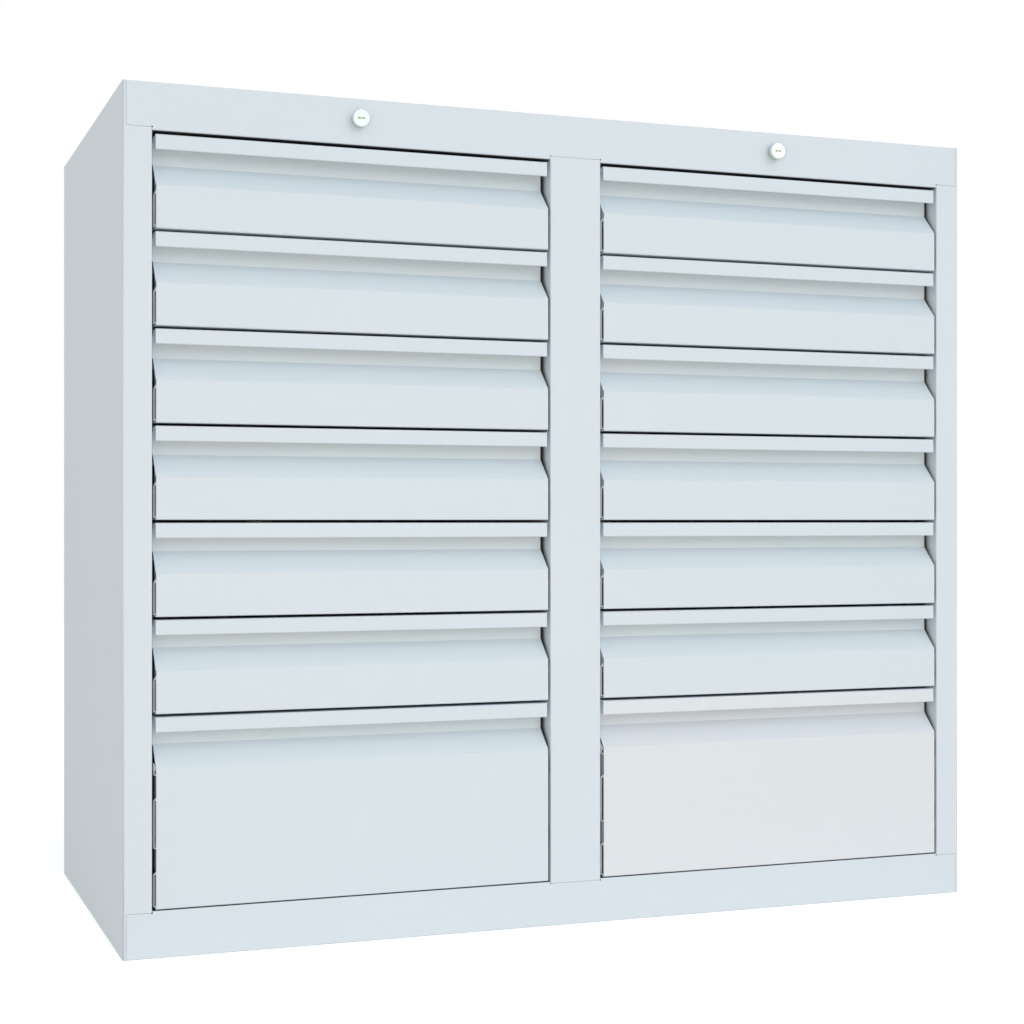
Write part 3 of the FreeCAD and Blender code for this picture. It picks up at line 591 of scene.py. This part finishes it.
def fold_side(side, sign):
    """A side wall with its stile, the stile's return and the rear flange."""
    node = f"{side}_side_panel"
    low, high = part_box(node)
    outer = sign * max(abs(low.x), abs(high.x))
    stile = high.x - low.x
    back = high.y
    front = low.y

    def inward(distance):
        return outer - sign * distance

    corners = [
        ((outer, front), CASING_CORNER),
        ((inward(RAIL_INSET), front), SHARP),
        ((inward(RAIL_INSET + STEP), front), SHARP),
        ((inward(stile), front), CRISP_FOLD),
        ((inward(stile), front + STILE_RETURN), SHARP),
        ((inward(stile - CASING_SHEET), front + STILE_RETURN), SHARP),
        ((inward(stile - CASING_SHEET), front + CASING_SHEET), INSIDE),
        ((inward(RAIL_INSET + STEP), front + CASING_SHEET), SHARP),
        ((inward(RAIL_INSET), front + CASING_SHEET), SHARP),
        ((inward(CASING_SHEET), front + CASING_SHEET), INSIDE),
        ((inward(CASING_SHEET), back - CASING_SHEET), SHARP),
        ((inward(CASING_SHEET + STEP), back - CASING_SHEET), SHARP),
        ((inward(REAR_FLANGE), back - CASING_SHEET), SHARP),
        ((inward(REAR_FLANGE), back), SHARP),
        ((inward(CASING_SHEET + STEP), back), SHARP),
        ((inward(CASING_SHEET), back), SHARP),
        ((outer, back), REAR_CORNER),
    ]
    mesh = casing_bar(corners, low.z, high.z)

    def in_stile(place):
        return abs(outer - place.x) > RAIL_INSET + STEP / 2 and place.y < 0

    def in_flange(place):
        return abs(outer - place.x) > CASING_SHEET + STEP / 2 and place.y > 0

    shorten(mesh, in_stile, *stile_ends)
    shorten(mesh, in_flange, low.z + REAR_FLANGE, high.z - REAR_FLANGE)
    soften_arcs(mesh)
    piece = show(mesh, f"{side}_wall", "cabinet", [casing_paint], None)
    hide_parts(node)
    return piece


walls = [fold_side("left", -1), fold_side("right", 1)]
print("side walls:", [wall.name for wall in walls])

# %% [markdown]
# ## The centre post
#
# The post is the same on both sides of the middle, so only its right half is written down.
# The left half is that list read backwards with its sign changed, which closes the outline.

# %% Fold the centre post
POST_STEP = 0.3 * MM


def fold_post():
    """The centre post: one sheet with a face, two walls and a lip behind each wall."""
    low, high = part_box("centre_partition")
    face_depth = low.y + CASING_SHEET + POST_STEP
    lip = high.x - REAR_FLANGE / 2
    skin = high.x - CASING_SHEET
    right = [
        ((high.x, low.y), CRISP_FOLD),
        ((high.x, face_depth), SHARP),
        ((high.x, face_depth + STEP), SHARP),
        ((high.x, high.y), SHARP),
        ((lip, high.y), SHARP),
        ((lip, high.y - CASING_SHEET), SHARP),
        ((skin, high.y - CASING_SHEET), SHARP),
        ((skin, face_depth + STEP), SHARP),
        ((skin, face_depth), SHARP),
        ((skin, low.y + CASING_SHEET), SHARP),
    ]
    left = [((-across, back), radius) for (across, back), radius in reversed(right)]
    mesh = casing_bar(right + left, low.z, high.z)
    shorten(mesh, lambda place: place.y < face_depth + STEP / 2, *stile_ends)
    soften_arcs(mesh)
    piece = show(mesh, "centre_post", "cabinet", [casing_paint], None)
    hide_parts("centre_partition")
    return piece


post = fold_post()
print("post:", post.name, "with", len(post.data.polygons), "faces")

# %% [markdown]
# ## The drawer fronts
#
# Every front is one long fold. From below: a foot lip, the flat face, a slope that leans back
# into the finger recess, the recess's rear wall, a narrow top, and a lip that hangs down in
# front and ends in a closed hem. The side view is written once, as a list of corners, for
# fronts of any height.

# %% Measure a front
LIP_HEIGHT = 15.8 * MM
LIP_TRIM = 1.4 * MM
FACE_TRIM = 0.15 * MM
SLOT_TRIM = 0.5 * MM
STRIP_FRONT = 0.1 * MM
STRIP_BACK = 2.1 * MM
HEM_HEIGHT = 9 * MM
HEM_RADIUS = 1.1 * MM
RECESS_HEIGHT = 13.5 * MM
SLOPE_RISE = 22.7 * MM
FOOT_LIP_HEIGHT = 16 * MM


def fold_heights(top):
    """How high a front's lip ends, its slope ends and its slope starts."""
    lip_end = top - LIP_HEIGHT
    slope_top = lip_end - RECESS_HEIGHT
    return lip_end, slope_top, slope_top - SLOPE_RISE


def front_outline(depth, top):
    """The side view of a front as (depth, height) corners with their bend radii."""
    recess = depth - SHEET
    lip_end, slope_top, crease = fold_heights(top)
    shift = SHEET * math.tan(math.atan(recess / SLOPE_RISE) / 2)
    return [
        ((0, 0), OUTSIDE),
        ((0, crease), OUTSIDE),
        ((recess, slope_top), INSIDE),
        ((recess, top - SHEET), INSIDE),
        ((2 * SHEET, top - SHEET), SHARP),
        ((SHEET, top - SHEET), INSIDE),
        ((SHEET, lip_end + HEM_HEIGHT), SHARP),
        ((2 * SHEET, lip_end + HEM_HEIGHT), SHARP),
        ((2 * SHEET, lip_end), HEM_RADIUS),
        ((0, lip_end), HEM_RADIUS),
        ((0, top), OUTSIDE),
        ((2 * SHEET, top), SHARP),
        ((depth, top), OUTSIDE),
        ((depth, slope_top - shift), OUTSIDE),
        ((SHEET, crease - shift), INSIDE),
        ((SHEET, SHEET), INSIDE),
        ((recess, SHEET), INSIDE),
        ((recess, FOOT_LIP_HEIGHT), SHARP),
        ((depth, FOOT_LIP_HEIGHT), SHARP),
        ((depth, 0), OUTSIDE),
    ]


print("finger recess:", mm(RECESS_HEIGHT + SLOPE_RISE), "mm high with its slope")

# %% [markdown]
# ## The sheet of a front
#
# The outline is pushed along the whole width, and a few vertices then move: the lip stops
# short of the face at its right-hand end, and the face leaves a hair of room at both ends.
# Each face of the mesh gets its coat by where it lies and how it looks: painted shade on the top
# and the underside, which lie in the gaps between fronts, painted light on the faces behind the
# front plane, and near-black painted shade on the ends of the face. A narrow near-black strip of
# painted shade runs up the slope at its right-hand end, where the gap beside it lies in shade. It
# is nearly nothing in front and widest at the back, so a slanting plane splits the faces there.

# %% Fold the sheet of a front
# Coat slots of a front: the plain coat, painted gap shade, near-black painted shade, painted
# light in the recess, and painted light on the tabs.
PAINT, GAP_SHADED, DEEP_SHADED, LIT_FOLD, TAB = range(5)
LAYER_MARGIN = 0.1 * SHEET
SIDEWAYS = 0.9
LOOKS_UP = 0.5
LOOKS_DOWN = -0.3


def split_end(mesh, faces, half, depth):
    """Splits faces where the strip of painted shade begins; returns the test for what is beyond.
    """
    normal = Vector((1, (STRIP_BACK - STRIP_FRONT) / (depth - SHEET), 0))
    place = Vector((half - STRIP_FRONT, SHEET, 0))
    edges = {edge for face in faces for edge in face.edges}
    verts = {vert for face in faces for vert in face.verts}
    bmesh.ops.bisect_plane(mesh, geom=[*verts, *edges, *faces], plane_co=place, plane_no=normal)

    def beyond(face):
        return (face.calc_center_median() - place).dot(normal) > 0

    return beyond


def trim_ends(mesh, top):
    """Cuts the lip and the face a little short at their ends."""
    lip_end, _, crease = fold_heights(top)
    for vert in mesh.verts:
        back, up = vert.co.y, vert.co.z
        in_lip = back < 2 * SHEET - LAYER_MARGIN and up > lip_end - SHEET
        at_hem = back < 2 * SHEET + LAYER_MARGIN and lip_end - SHEET < up < top - 2 * SHEET
        in_face = back < SHEET + LAYER_MARGIN and SHEET < up < crease
        if vert.co.x > 0 and (in_lip or at_hem):
            vert.co.x -= LIP_TRIM
        if in_face:
            vert.co.x += SLOT_TRIM if vert.co.x < 0 else -FACE_TRIM


def fold_front(half, depth, top):
    """The folded sheet itself, with the materials of its faces, folds and ends."""
    corners = front_outline(depth, top)
    points = [(-half, back, up) for (back, up), radius in corners]
    mesh = bar(points, [radius for corner, radius in corners], (2 * half, 0, 0))
    cut_ends(mesh)
    trim_ends(mesh, top)
    soften_arcs(mesh)
    _, slope_top, crease = fold_heights(top)
    slope = []
    for face in mesh.faces:
        if abs(face.normal.x) < SIDEWAYS and crease < face.calc_center_median().z < slope_top:
            slope.append(face)
    beyond_strip = split_end(mesh, slope, half, depth)
    for face in mesh.faces:
        middle = face.calc_center_median()
        on_top = face.normal.z > LOOKS_UP and middle.z > top - SHEET / 2
        underneath = face.normal.z < LOOKS_DOWN and middle.z < SHEET / 2
        cut_end = abs(face.normal.x) > SIDEWAYS and middle.y < SHEET and middle.z < slope_top
        in_slope = crease < middle.z < slope_top
        # Near-black painted shade on the ends of the face and on the slope beyond the strip's
        # plane.
        if cut_end or (in_slope and beyond_strip(face)):
            face.material_index = DEEP_SHADED
        # Painted shade on the top and the underside, which lie in the gaps between fronts.
        elif on_top or underneath:
            face.material_index = GAP_SHADED
        # Painted light on the faces behind the front plane.
        elif middle.y > SHEET / 2:
            face.material_index = LIT_FOLD
        else:
            face.material_index = PAINT
    return mesh


print("dark strip:", mm(STRIP_FRONT), "mm wide in front and", mm(STRIP_BACK), "mm at the back")

# %% [markdown]
# ## The rear wall of the recess
#
# Behind the recess stands a second sheet. At the left it is a little wider than the face and
# turns forwards. At the right it ends level with the face, and the near-black strip of painted
# shade on the slope goes on up its end. The rest of the wall has the recess's painted light.

# %% Fold the recess's rear wall
WALL_OVERHANG = 1.4 * MM
WALL_FLANGE = 6 * MM
WALL_DROP = 5 * MM
WALL_OFFSET = 0.05 * MM
WALL_LAP = 0.3 * SHEET


def recess_wall(half, depth, top):
    """The recess's rear wall, with an overhang and a flange at its left-hand end."""
    edge = half + WALL_OVERHANG
    inner = edge - SHEET
    rear = depth - WALL_OFFSET
    front = rear - SHEET
    flange = depth - SHEET - WALL_FLANGE
    low = fold_heights(top)[1] - WALL_LAP
    high = top - SHEET - WALL_DROP
    corners = [
        ((-edge, flange), SHARP),
        ((-edge, rear), OUTSIDE),
        ((half, rear), SHARP),
        ((half, front), SHARP),
        ((-inner, front), 2 * INSIDE),
        ((-inner, flange), SHARP),
    ]
    points = [(across, back, low) for (across, back), radius in corners]
    mesh = bar(points, [radius for corner, radius in corners], (0, 0, high - low))
    soften_arcs(mesh)
    long_faces = [face for face in mesh.faces if abs(face.normal.x) < SIDEWAYS]
    beyond_strip = split_end(mesh, long_faces, half, depth)
    for face in mesh.faces:
        # Near-black painted shade beyond the strip's plane, painted light in the recess
        # elsewhere.
        face.material_index = DEEP_SHADED if beyond_strip(face) else LIT_FOLD
    return mesh


print("rear wall:", mm(WALL_OVERHANG), "mm past the face at its left-hand end")

# %% [markdown]
# ## Side tabs
#
# Behind each end of the face stands a tab, bent back a little short of square. A long slot
# along its fold makes it easy to bend by hand, so only a short bridge of sheet is left above
# and below the slot. Each tab is a ring of four faces around its slot, thickened and turned.

# %% Bend a tab
TAB_REACH = 1.835 * MM
TAB_DEPTH = 7 * MM
TAB_SPLAY = math.radians(16)
TAB_SLANT = 4 * MM
TAB_BRIDGE = 1.5 * MM
THIN_BRIDGE = 0.1 * MM
SLOT_WIDTH = 2.4 * MM
HAIR = 0.01 * MM


def side_tab(sign, half, foot, top, slant=TAB_SLANT, bridge=TAB_BRIDGE):
    """One slotted tab at the left (-1) or right (+1) end of a face."""
    lean = math.cos(TAB_SPLAY)
    reach = (TAB_DEPTH - SHEET / 2) / lean
    outer = [(0, foot), (reach, foot), (reach, top - slant), (0, top)]
    slot_near = HAIR
    slot_far = SLOT_WIDTH / lean
    slot_low = foot + TAB_BRIDGE
    slot_top = top - bridge - max(slant, 0) / 2
    slot = [
        (slot_near, slot_low), (slot_far, slot_low),
        (slot_far, slot_top), (slot_near, slot_top),
    ]
    mesh = bmesh.new()
    rings = [[mesh.verts.new((0, back, up)) for back, up in ring] for ring in (outer, slot)]
    edges = []
    for ring in rings:
        edges += [mesh.edges.new((ring[i - 1], ring[i])) for i in range(len(ring))]
    bmesh.ops.bridge_loops(mesh, edges=edges)
    push(mesh, mesh.faces[:], (-sign * SHEET, 0, 0))
    for face in mesh.faces:
        middle = face.calc_center_median()
        in_depth = slot_near - HAIR < middle.y < slot_far + HAIR
        in_height = slot_low - HAIR < middle.z < slot_top + HAIR
        # The slot's own faces get near-black painted shade; the rest of the tab gets the
        # near-white painted light.
        face.material_index = DEEP_SHADED if in_depth and in_height else TAB
    swing = Matrix.Rotation(-sign * TAB_SPLAY, 3, "Z")
    bmesh.ops.rotate(mesh, verts=mesh.verts, cent=(0, 0, 0), matrix=swing)
    bmesh.ops.translate(mesh, verts=mesh.verts, vec=(sign * half, SHEET / 2, 0))
    return mesh


print("tabs:", mm(TAB_DEPTH), "mm deep, splayed", round(math.degrees(TAB_SPLAY)), "degrees")

# %% [markdown]
# ## Behind the tabs
#
# A shallow front has one tab at each end, low down, and a small gusset behind each end of its
# slope. A deep front has three tabs above one another, and the highest reaches up beside the
# slope. A narrow strip of sheet closes the gap between each two of them.

# %% Plates behind the tabs
FOOT_TAB = (2 * MM, 39 * MM)
MIDDLE_TAB = (62 * MM, 115 * MM)
UPPER_TAB_FOOT = 137.5 * MM
UPPER_TAB_DROP = 2 * MM
GUSSET_DROP = 15 * MM
GAP_SETBACK = 2.5 * SHEET


def end_plate(sign, half, outline):
    """A plate of sheet just inside one end of a front, from (depth, height) corners."""
    edge = sign * (half - SHEET)
    points = [(edge, back, up) for back, up in outline]
    return bar(points, [SHARP] * len(points), (-sign * SHEET, 0, 0))


def gap_plate(sign, half, depth, foot, top):
    """A strip behind the gap between two tabs of a deep front."""
    near, far = GAP_SETBACK, depth - SHEET - HAIR
    low, high = foot - SHEET, top + SHEET
    return end_plate(sign, half, [(near, low), (far, low), (far, high), (near, high)])


def gusset(sign, half, depth, top):
    """The plate behind each end of the slope that stiffens the front."""
    upper = fold_heights(top)[1] - SHEET
    crease = upper - SLOPE_RISE
    foot = crease - GUSSET_DROP
    near, far = SHEET - HAIR, depth - SHEET - HAIR
    return end_plate(sign, half, [(near, foot), (far, foot), (far, upper), (near, crease)])


def deep_end(sign, half, depth, top):
    """What a deep front has above its foot tab: two more tabs and the strips between."""
    upper_top = fold_heights(top)[2] - SHEET / 2 - UPPER_TAB_DROP
    slope_lift = (TAB_DEPTH - SHEET) * SLOPE_RISE / (depth - SHEET)
    return [
        side_tab(sign, half, *MIDDLE_TAB),
        side_tab(sign, half, UPPER_TAB_FOOT, upper_top, -slope_lift, THIN_BRIDGE),
        gap_plate(sign, half, depth, FOOT_TAB[1], MIDDLE_TAB[0]),
        gap_plate(sign, half, depth, MIDDLE_TAB[1], UPPER_TAB_FOOT),
    ]


gaps = (MIDDLE_TAB[0] - FOOT_TAB[1], UPPER_TAB_FOOT - MIDDLE_TAB[1])
print("gaps between a deep front's tabs:", [mm(gap) for gap in gaps], "mm")

# %% [markdown]
# ## Fourteen fronts
#
# All the fronts come from the same few tools, each in the size of its own node. A front is
# built around the origin, moved to its place as a mesh, and then stands for the plain node
# that it was measured from.

# %% Build the fronts
WORDS = ["one", "two", "three", "four", "five", "six", "seven"]
DEEP_WORD = "seven"
PALE_FRONT = ("right", "seven")


def dress_front(side, word):
    """Builds one whole front in its place and lets it stand for the CAD front."""
    node = f"{side}_drawer_front_{word}"
    low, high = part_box(node)
    half = (high.x - low.x) / 2 - TAB_REACH
    depth = high.y - low.y
    top = high.z - low.z
    parts = [fold_front(half, depth, top), recess_wall(half, depth, top)]
    for sign in (-1, 1):
        parts.append(side_tab(sign, half, *FOOT_TAB))
        if word == DEEP_WORD:
            parts += deep_end(sign, half, depth, top)
        else:
            parts.append(gusset(sign, half, depth, top))
    mesh = merge_meshes(parts)
    middle = (low.x + high.x) / 2
    bmesh.ops.translate(mesh, verts=mesh.verts, vec=(middle, low.y, low.z))
    pale = (side, word) == PALE_FRONT
    # The fold coat is a lighter copy of the face's: painted light in the recess.
    paint, fold = (pale_paint, pale_lit_fold) if pale else (front_paint, lit_fold_paint)
    coats = [paint, painted_gap_shade, painted_slot_shade, fold, tab_lit_paint]
    body = f"{side}_drawer_{word}"
    piece = show(mesh, f"{side}_front_{word}", body, coats)
    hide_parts(node)
    return piece


fronts = [dress_front(side, word) for side in ("left", "right") for word in WORDS]
print("fronts:", len(fronts), "with", len(fronts[0].data.polygons), "faces on a shallow one")

# %% [markdown]
# ## The lock heads
#
# A lock head is turned work: its side view is spun about the lock's axis. It has a rounded rim, a
# neck that widens into a collar where it meets the rail, and a barrel that goes on behind the
# rail. The face is polished and fully metallic. The side is paler and only part metallic, which
# is painted light on its shaded side.

# %% Turn a lock head
HEAD_LENGTH = 10 * MM
BARREL_RADIUS = 8 * MM
BARREL_LENGTH = 22 * MM
BORE = 6.55 * MM
BORE_BREAK = 0.2 * MM
RIM_RADIUS = 1.1 * MM
RIM_THICKNESS = 3 * MM
BRIGHT_RIM = 0.35 * RIM_RADIUS
NECK_RADIUS = 7.8 * MM
COLLAR_RADIUS = 8.7 * MM
ROUND_STEPS = 64
WELD = 0.001 * MM
LOOKS_FRONT = 0.99


def turned(points, radii, centre):
    """A ring turned from (radius, depth) corners about a lock's axis."""
    mesh = bmesh.new()
    x, y, z = centre
    places = [(x + radius, y + depth, z) for radius, depth in points]
    face = outline_face(mesh, places, radii)
    bmesh.ops.delete(mesh, geom=[face], context="FACES_ONLY")
    bmesh.ops.spin(
        mesh, geom=mesh.verts[:] + mesh.edges[:], cent=centre, axis=(0, 1, 0),
        angle=2 * math.pi, steps=ROUND_STEPS, use_merge=True, use_duplicate=False,
    )
    bmesh.ops.remove_doubles(mesh, verts=mesh.verts, dist=WELD)
    return mesh


def dress_housing(side, centre, radius):
    """The fixed head with its rounded rim, and the barrel behind the rail."""
    corners = [
        ((BORE, -HEAD_LENGTH + BORE_BREAK), SHARP),
        ((BORE + BORE_BREAK, -HEAD_LENGTH), SHARP),
        ((radius, -HEAD_LENGTH), RIM_RADIUS),
        ((radius, -HEAD_LENGTH + RIM_THICKNESS), 2 * INSIDE),
        ((NECK_RADIUS, -HEAD_LENGTH + RIM_THICKNESS), 2 * INSIDE),
        ((COLLAR_RADIUS, 0), SHARP),
        ((BARREL_RADIUS, 0), SHARP),
        ((BARREL_RADIUS, BARREL_LENGTH), 2 * INSIDE),
        ((BORE, BARREL_LENGTH), SHARP),
    ]
    points = [corner for corner, bend in corners]
    mesh = turned(points, [bend for corner, bend in corners], centre)
    bmesh.ops.recalc_face_normals(mesh, faces=mesh.faces)
    face_plane = centre.y - HEAD_LENGTH
    for face in mesh.faces:
        on_face = face.calc_center_median().y < face_plane + BRIGHT_RIM
        # The side of the head gets the paler coat: painted light.
        face.material_index = 0 if on_face else 1
        face.smooth = abs(face.normal.y) < LOOKS_FRONT
    piece = show(mesh, f"{side}_lock_head", "cabinet", [chrome, lit_nickel], None)
    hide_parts(f"{side}_lock_housing")
    return piece


print("lock head:", mm(HEAD_LENGTH), "mm proud of the rail")

# %% [markdown]
# ## The plugs
#
# The plug sits a hair behind the rim and turns with the key. Its keyway is a real slot: the
# round face is cut along four planes, the piece in the middle is pushed inwards, and brass
# wafers stand inside at different depths, as they do in a lock without its key.

# %% Cut a keyway
PLUG_RADIUS = 6.5 * MM
PLUG_SETBACK = 0.4 * MM
KEYWAY = (8.5 * MM, 2.2 * MM)
KEYWAY_DEPTH = 6 * MM
WAFER_THICKNESS = 0.5 * MM
WAFERS = [
    (-1.9 * MM, 2.4 * MM, 0.3 * MM),
    (-3.9 * MM, -2.1 * MM, 0.9 * MM),
    (3.0 * MM, 4.0 * MM, 0.5 * MM),
]
ROUND_SIDE = 0.5


def cut_along(mesh, place, normal):
    """Cuts every face of a mesh along a plane and keeps both sides."""
    geometry = mesh.verts[:] + mesh.edges[:] + mesh.faces[:]
    bmesh.ops.bisect_plane(mesh, geom=geometry, plane_co=place, plane_no=normal)


def plug_body(centre, front):
    """A round plug whose front is cut up around its keyway, and the keyway pushed in."""
    mesh = bmesh.new()
    bmesh.ops.create_circle(mesh, cap_ends=True, radius=PLUG_RADIUS, segments=ROUND_STEPS)
    upright = Matrix.Rotation(math.radians(90), 3, "X")
    bmesh.ops.rotate(mesh, verts=mesh.verts, cent=(0, 0, 0), matrix=upright)
    bmesh.ops.translate(mesh, verts=mesh.verts, vec=(centre.x, front, centre.z))
    push(mesh, mesh.faces[:], (0, centre.y + BARREL_LENGTH - front, 0))
    across, up = [size / 2 for size in KEYWAY]
    for sign in (-1, 1):
        cut_along(mesh, centre + Vector((sign * across, 0, 0)), (1, 0, 0))
        cut_along(mesh, centre + Vector((0, 0, sign * up)), (0, 0, 1))
    keyway = []
    for face in mesh.faces:
        off = face.calc_center_median() - Vector((centre.x, front, centre.z))
        if abs(off.x) < across and abs(off.y) < HAIR and abs(off.z) < up:
            keyway.append(face)
    push(mesh, keyway, (0, KEYWAY_DEPTH, 0))
    bmesh.ops.delete(mesh, geom=keyway, context="FACES_ONLY")
    for face in mesh.faces:
        face.smooth = abs(face.normal.y) < ROUND_SIDE
    return mesh


def wafer(centre, front, left, right, back):
    """One brass wafer that fills part of the keyway at its own depth."""
    low = centre.z - KEYWAY[1] / 2 + HAIR
    high = centre.z + KEYWAY[1] / 2 - HAIR
    start = centre.x + left
    end = centre.x + right
    depth = front + back
    points = [(start, depth, low), (end, depth, low), (end, depth, high), (start, depth, high)]
    mesh = bar(points, [SHARP] * len(points), (0, WAFER_THICKNESS, 0))
    for face in mesh.faces:
        face.material_index = 1
    return mesh


def dress_plug(side, centre):
    """The plug: a disc with a keyway cut into it and wafers inside."""
    front = centre.y - HEAD_LENGTH + PLUG_SETBACK
    parts = [plug_body(centre, front)]
    parts += [wafer(centre, front, *spot) for spot in WAFERS]
    mesh = merge_meshes(parts)
    piece = show(mesh, f"{side}_plug", f"{side}_lock", [chrome, brass], None)
    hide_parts(f"{side}_lock_plug")
    return piece


print("keyway:", mm(KEYWAY[0]), "by", mm(KEYWAY[1]), "mm")

# %% [markdown]
# ## Both locks in their places
#
# The two locks are alike. Each takes its centre and its radius from its own plain node.

# %% Set both locks
for side in ("left", "right"):
    low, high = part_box(f"{side}_lock_housing")
    head_radius = (high.x - low.x) / 2
    centre = Vector(((low.x + high.x) / 2, low.y + HEAD_LENGTH, (low.z + high.z) / 2))
    head = dress_housing(side, centre, head_radius)
    plug = dress_plug(side, centre)
    print(head.name, "and", plug.name, "at a height of", mm(centre.z), "mm")

# %% [markdown]
# ## The studio
#
# The cabinet stands on a plain white floor in even light. What is seen and what gives light
# are kept apart: a Light Path node says what kind of ray meets a surface, and a Mix Shader
# answers each kind in its own way.

# %% Helpers for the studio
WHITE = (1, 1, 1, 1)
FULL_WHITE = 1.0


def seen_directly(network):
    """A socket that is 1 for rays from the camera, mirrors and glass, and 0 for the rest."""
    rays = network.nodes.new("ShaderNodeLightPath")
    camera_ray = rays.outputs["Is Camera Ray"]
    either = calculate(network, "MAXIMUM", camera_ray, rays.outputs["Is Glossy Ray"])
    return calculate(network, "MAXIMUM", either, rays.outputs["Is Transmission Ray"])


def choose(network, share, usual, special):
    """A shader that is the special one where a share is 1, and else the usual one."""
    choice = network.nodes.new("ShaderNodeMixShader")
    network.links.new(share, choice.inputs["Fac"])
    network.links.new(usual, choice.inputs[1])
    network.links.new(special, choice.inputs[2])
    return choice.outputs["Shader"]


print("white is", WHITE[:3], "at a strength of", FULL_WHITE)

# %% [markdown]
# ## The world
#
# The world is white only to the camera and to mirror-like surfaces. To everything else it is
# a soft sky that gives a plain, level light, so the paint shows its own colour.

# %% Light the world
SKY_TINT = (0.875, 0.899, 0.915, 1)
SKY_STRENGTH = 0.517

world = bpy.data.worlds.new("studio")
world.use_nodes = True
sky = world.node_tree
sky.nodes.clear()
soft = add(sky, "ShaderNodeBackground", Color=SKY_TINT, Strength=SKY_STRENGTH)
white = add(sky, "ShaderNodeBackground", Color=WHITE, Strength=FULL_WHITE)
sky_shader = choose(
    sky, seen_directly(sky), soft.outputs["Background"], white.outputs["Background"]
)
world_out = sky.nodes.new("ShaderNodeOutputWorld")
sky.links.new(sky_shader, world_out.inputs["Surface"])
bpy.context.scene.world = world
print("world:", world.name, "with a soft sky of strength", SKY_STRENGTH)

# %% [markdown]
# ## The floor
#
# The floor is white in mirrors, as the world is. For the camera it is a matt white with a glow
# of its own: enough to be white where the light reaches it, and too little to wash out the
# cabinet's shadow.

# %% Lay the floor
FLOOR_HALF = 6.0
FLOOR_WHITE = (0.92, 0.92, 0.92, 1)
FLOOR_GLOW = 0.5

floor_mesh = bmesh.new()
bmesh.ops.create_grid(floor_mesh, x_segments=1, y_segments=1, size=FLOOR_HALF)
floor_data = bpy.data.meshes.new("floor")
floor_mesh.to_mesh(floor_data)
floor_mesh.free()
floor = bpy.data.objects.new("floor", floor_data)
bpy.context.scene.collection.objects.link(floor)

floor_material = bpy.data.materials.new("floor_white")
floor_material.use_nodes = True
ground = floor_material.node_tree
ground.nodes.clear()
plain = add(ground, "ShaderNodeBsdfDiffuse", Color=FLOOR_WHITE).outputs["BSDF"]
glow = add(ground, "ShaderNodeEmission", Color=WHITE, Strength=FLOOR_GLOW).outputs["Emission"]
bright = add(ground, "ShaderNodeEmission", Color=WHITE, Strength=FULL_WHITE).outputs["Emission"]
lifted = ground.nodes.new("ShaderNodeAddShader")
ground.links.new(plain, lifted.inputs[0])
ground.links.new(glow, lifted.inputs[1])
rays = ground.nodes.new("ShaderNodeLightPath")
in_mirrors = choose(ground, seen_directly(ground), plain, bright)
floor_shader = choose(
    ground, rays.outputs["Is Camera Ray"], in_mirrors, lifted.outputs["Shader"]
)
floor_out = ground.nodes.new("ShaderNodeOutputMaterial")
ground.links.new(floor_shader, floor_out.inputs["Surface"])
floor_data.materials.append(floor_material)
print("floor:", 2 * FLOOR_HALF, "m square")

# %% [markdown]
# ## The lamps
#
# A lamp close to a tall cabinet lights its top more than its foot. Sun lamps have no such
# fall-off, so a flat front stays one even tone. A sun's angle sets how soft its shadows are:
# at 50 degrees and more it acts like a large white ceiling or wall. Each lamp below stands
# for one such surface of a bright room, and a long low strip adds what a pale floor throws
# back into the undersides of the folds.

# %% Hang the lamps
MIDDLE = Vector((0, 0, CABINET_HEIGHT / 2))
SUNS = [
    ("upper_right", (1.6, -3.2, 2.6), 50, 0.81, (0.74, 0.855, 1.0)),
    ("front_left", (-2.6, -2.6, 1.6), 70, 0.30, (0.92, 1.0, 1.0)),
    ("left_wall", (-3.5, -0.8, 1.0), 60, 0.22, (1.0, 0.84, 0.34)),
    ("ceiling", (0.0, -1.0, 3.6), 60, 0.26, (0.94, 0.90, 1.0)),
    ("right_wall", (3.0, -2.4, 1.2), 60, 0.235, (1.0, 0.97, 0.98)),
]
STRIP_PLACE = (-0.3, -2.6, 0.3)
STRIP_AIM = Vector((-0.1, 0, 0.3))
STRIP_LENGTH = 4.0
STRIP_WIDTH = 0.4
STRIP_POWER = 13.6
STRIP_TINT = (1.0, 0.74, 0.38)


def hang(data, place, aim):
    """Puts a lamp at a place and turns it towards a point."""
    light = bpy.data.objects.new(data.name, data)
    light.location = place
    light.rotation_euler = (aim - Vector(place)).to_track_quat("-Z", "Y").to_euler()
    bpy.context.scene.collection.objects.link(light)


for name, place, spread, power, tint in SUNS:
    sun = bpy.data.lights.new(name, "SUN")
    sun.angle = math.radians(spread)
    sun.energy = power
    sun.color = tint
    hang(sun, place, MIDDLE)

strip = bpy.data.lights.new("floor_bounce", "AREA")
strip.shape = "RECTANGLE"
strip.size = STRIP_LENGTH
strip.size_y = STRIP_WIDTH
strip.energy = STRIP_POWER
strip.color = STRIP_TINT
hang(strip, STRIP_PLACE, STRIP_AIM)
bpy.context.scene.view_settings.view_transform = "Standard"
print("lamps:", [light.name for light in bpy.data.lights])
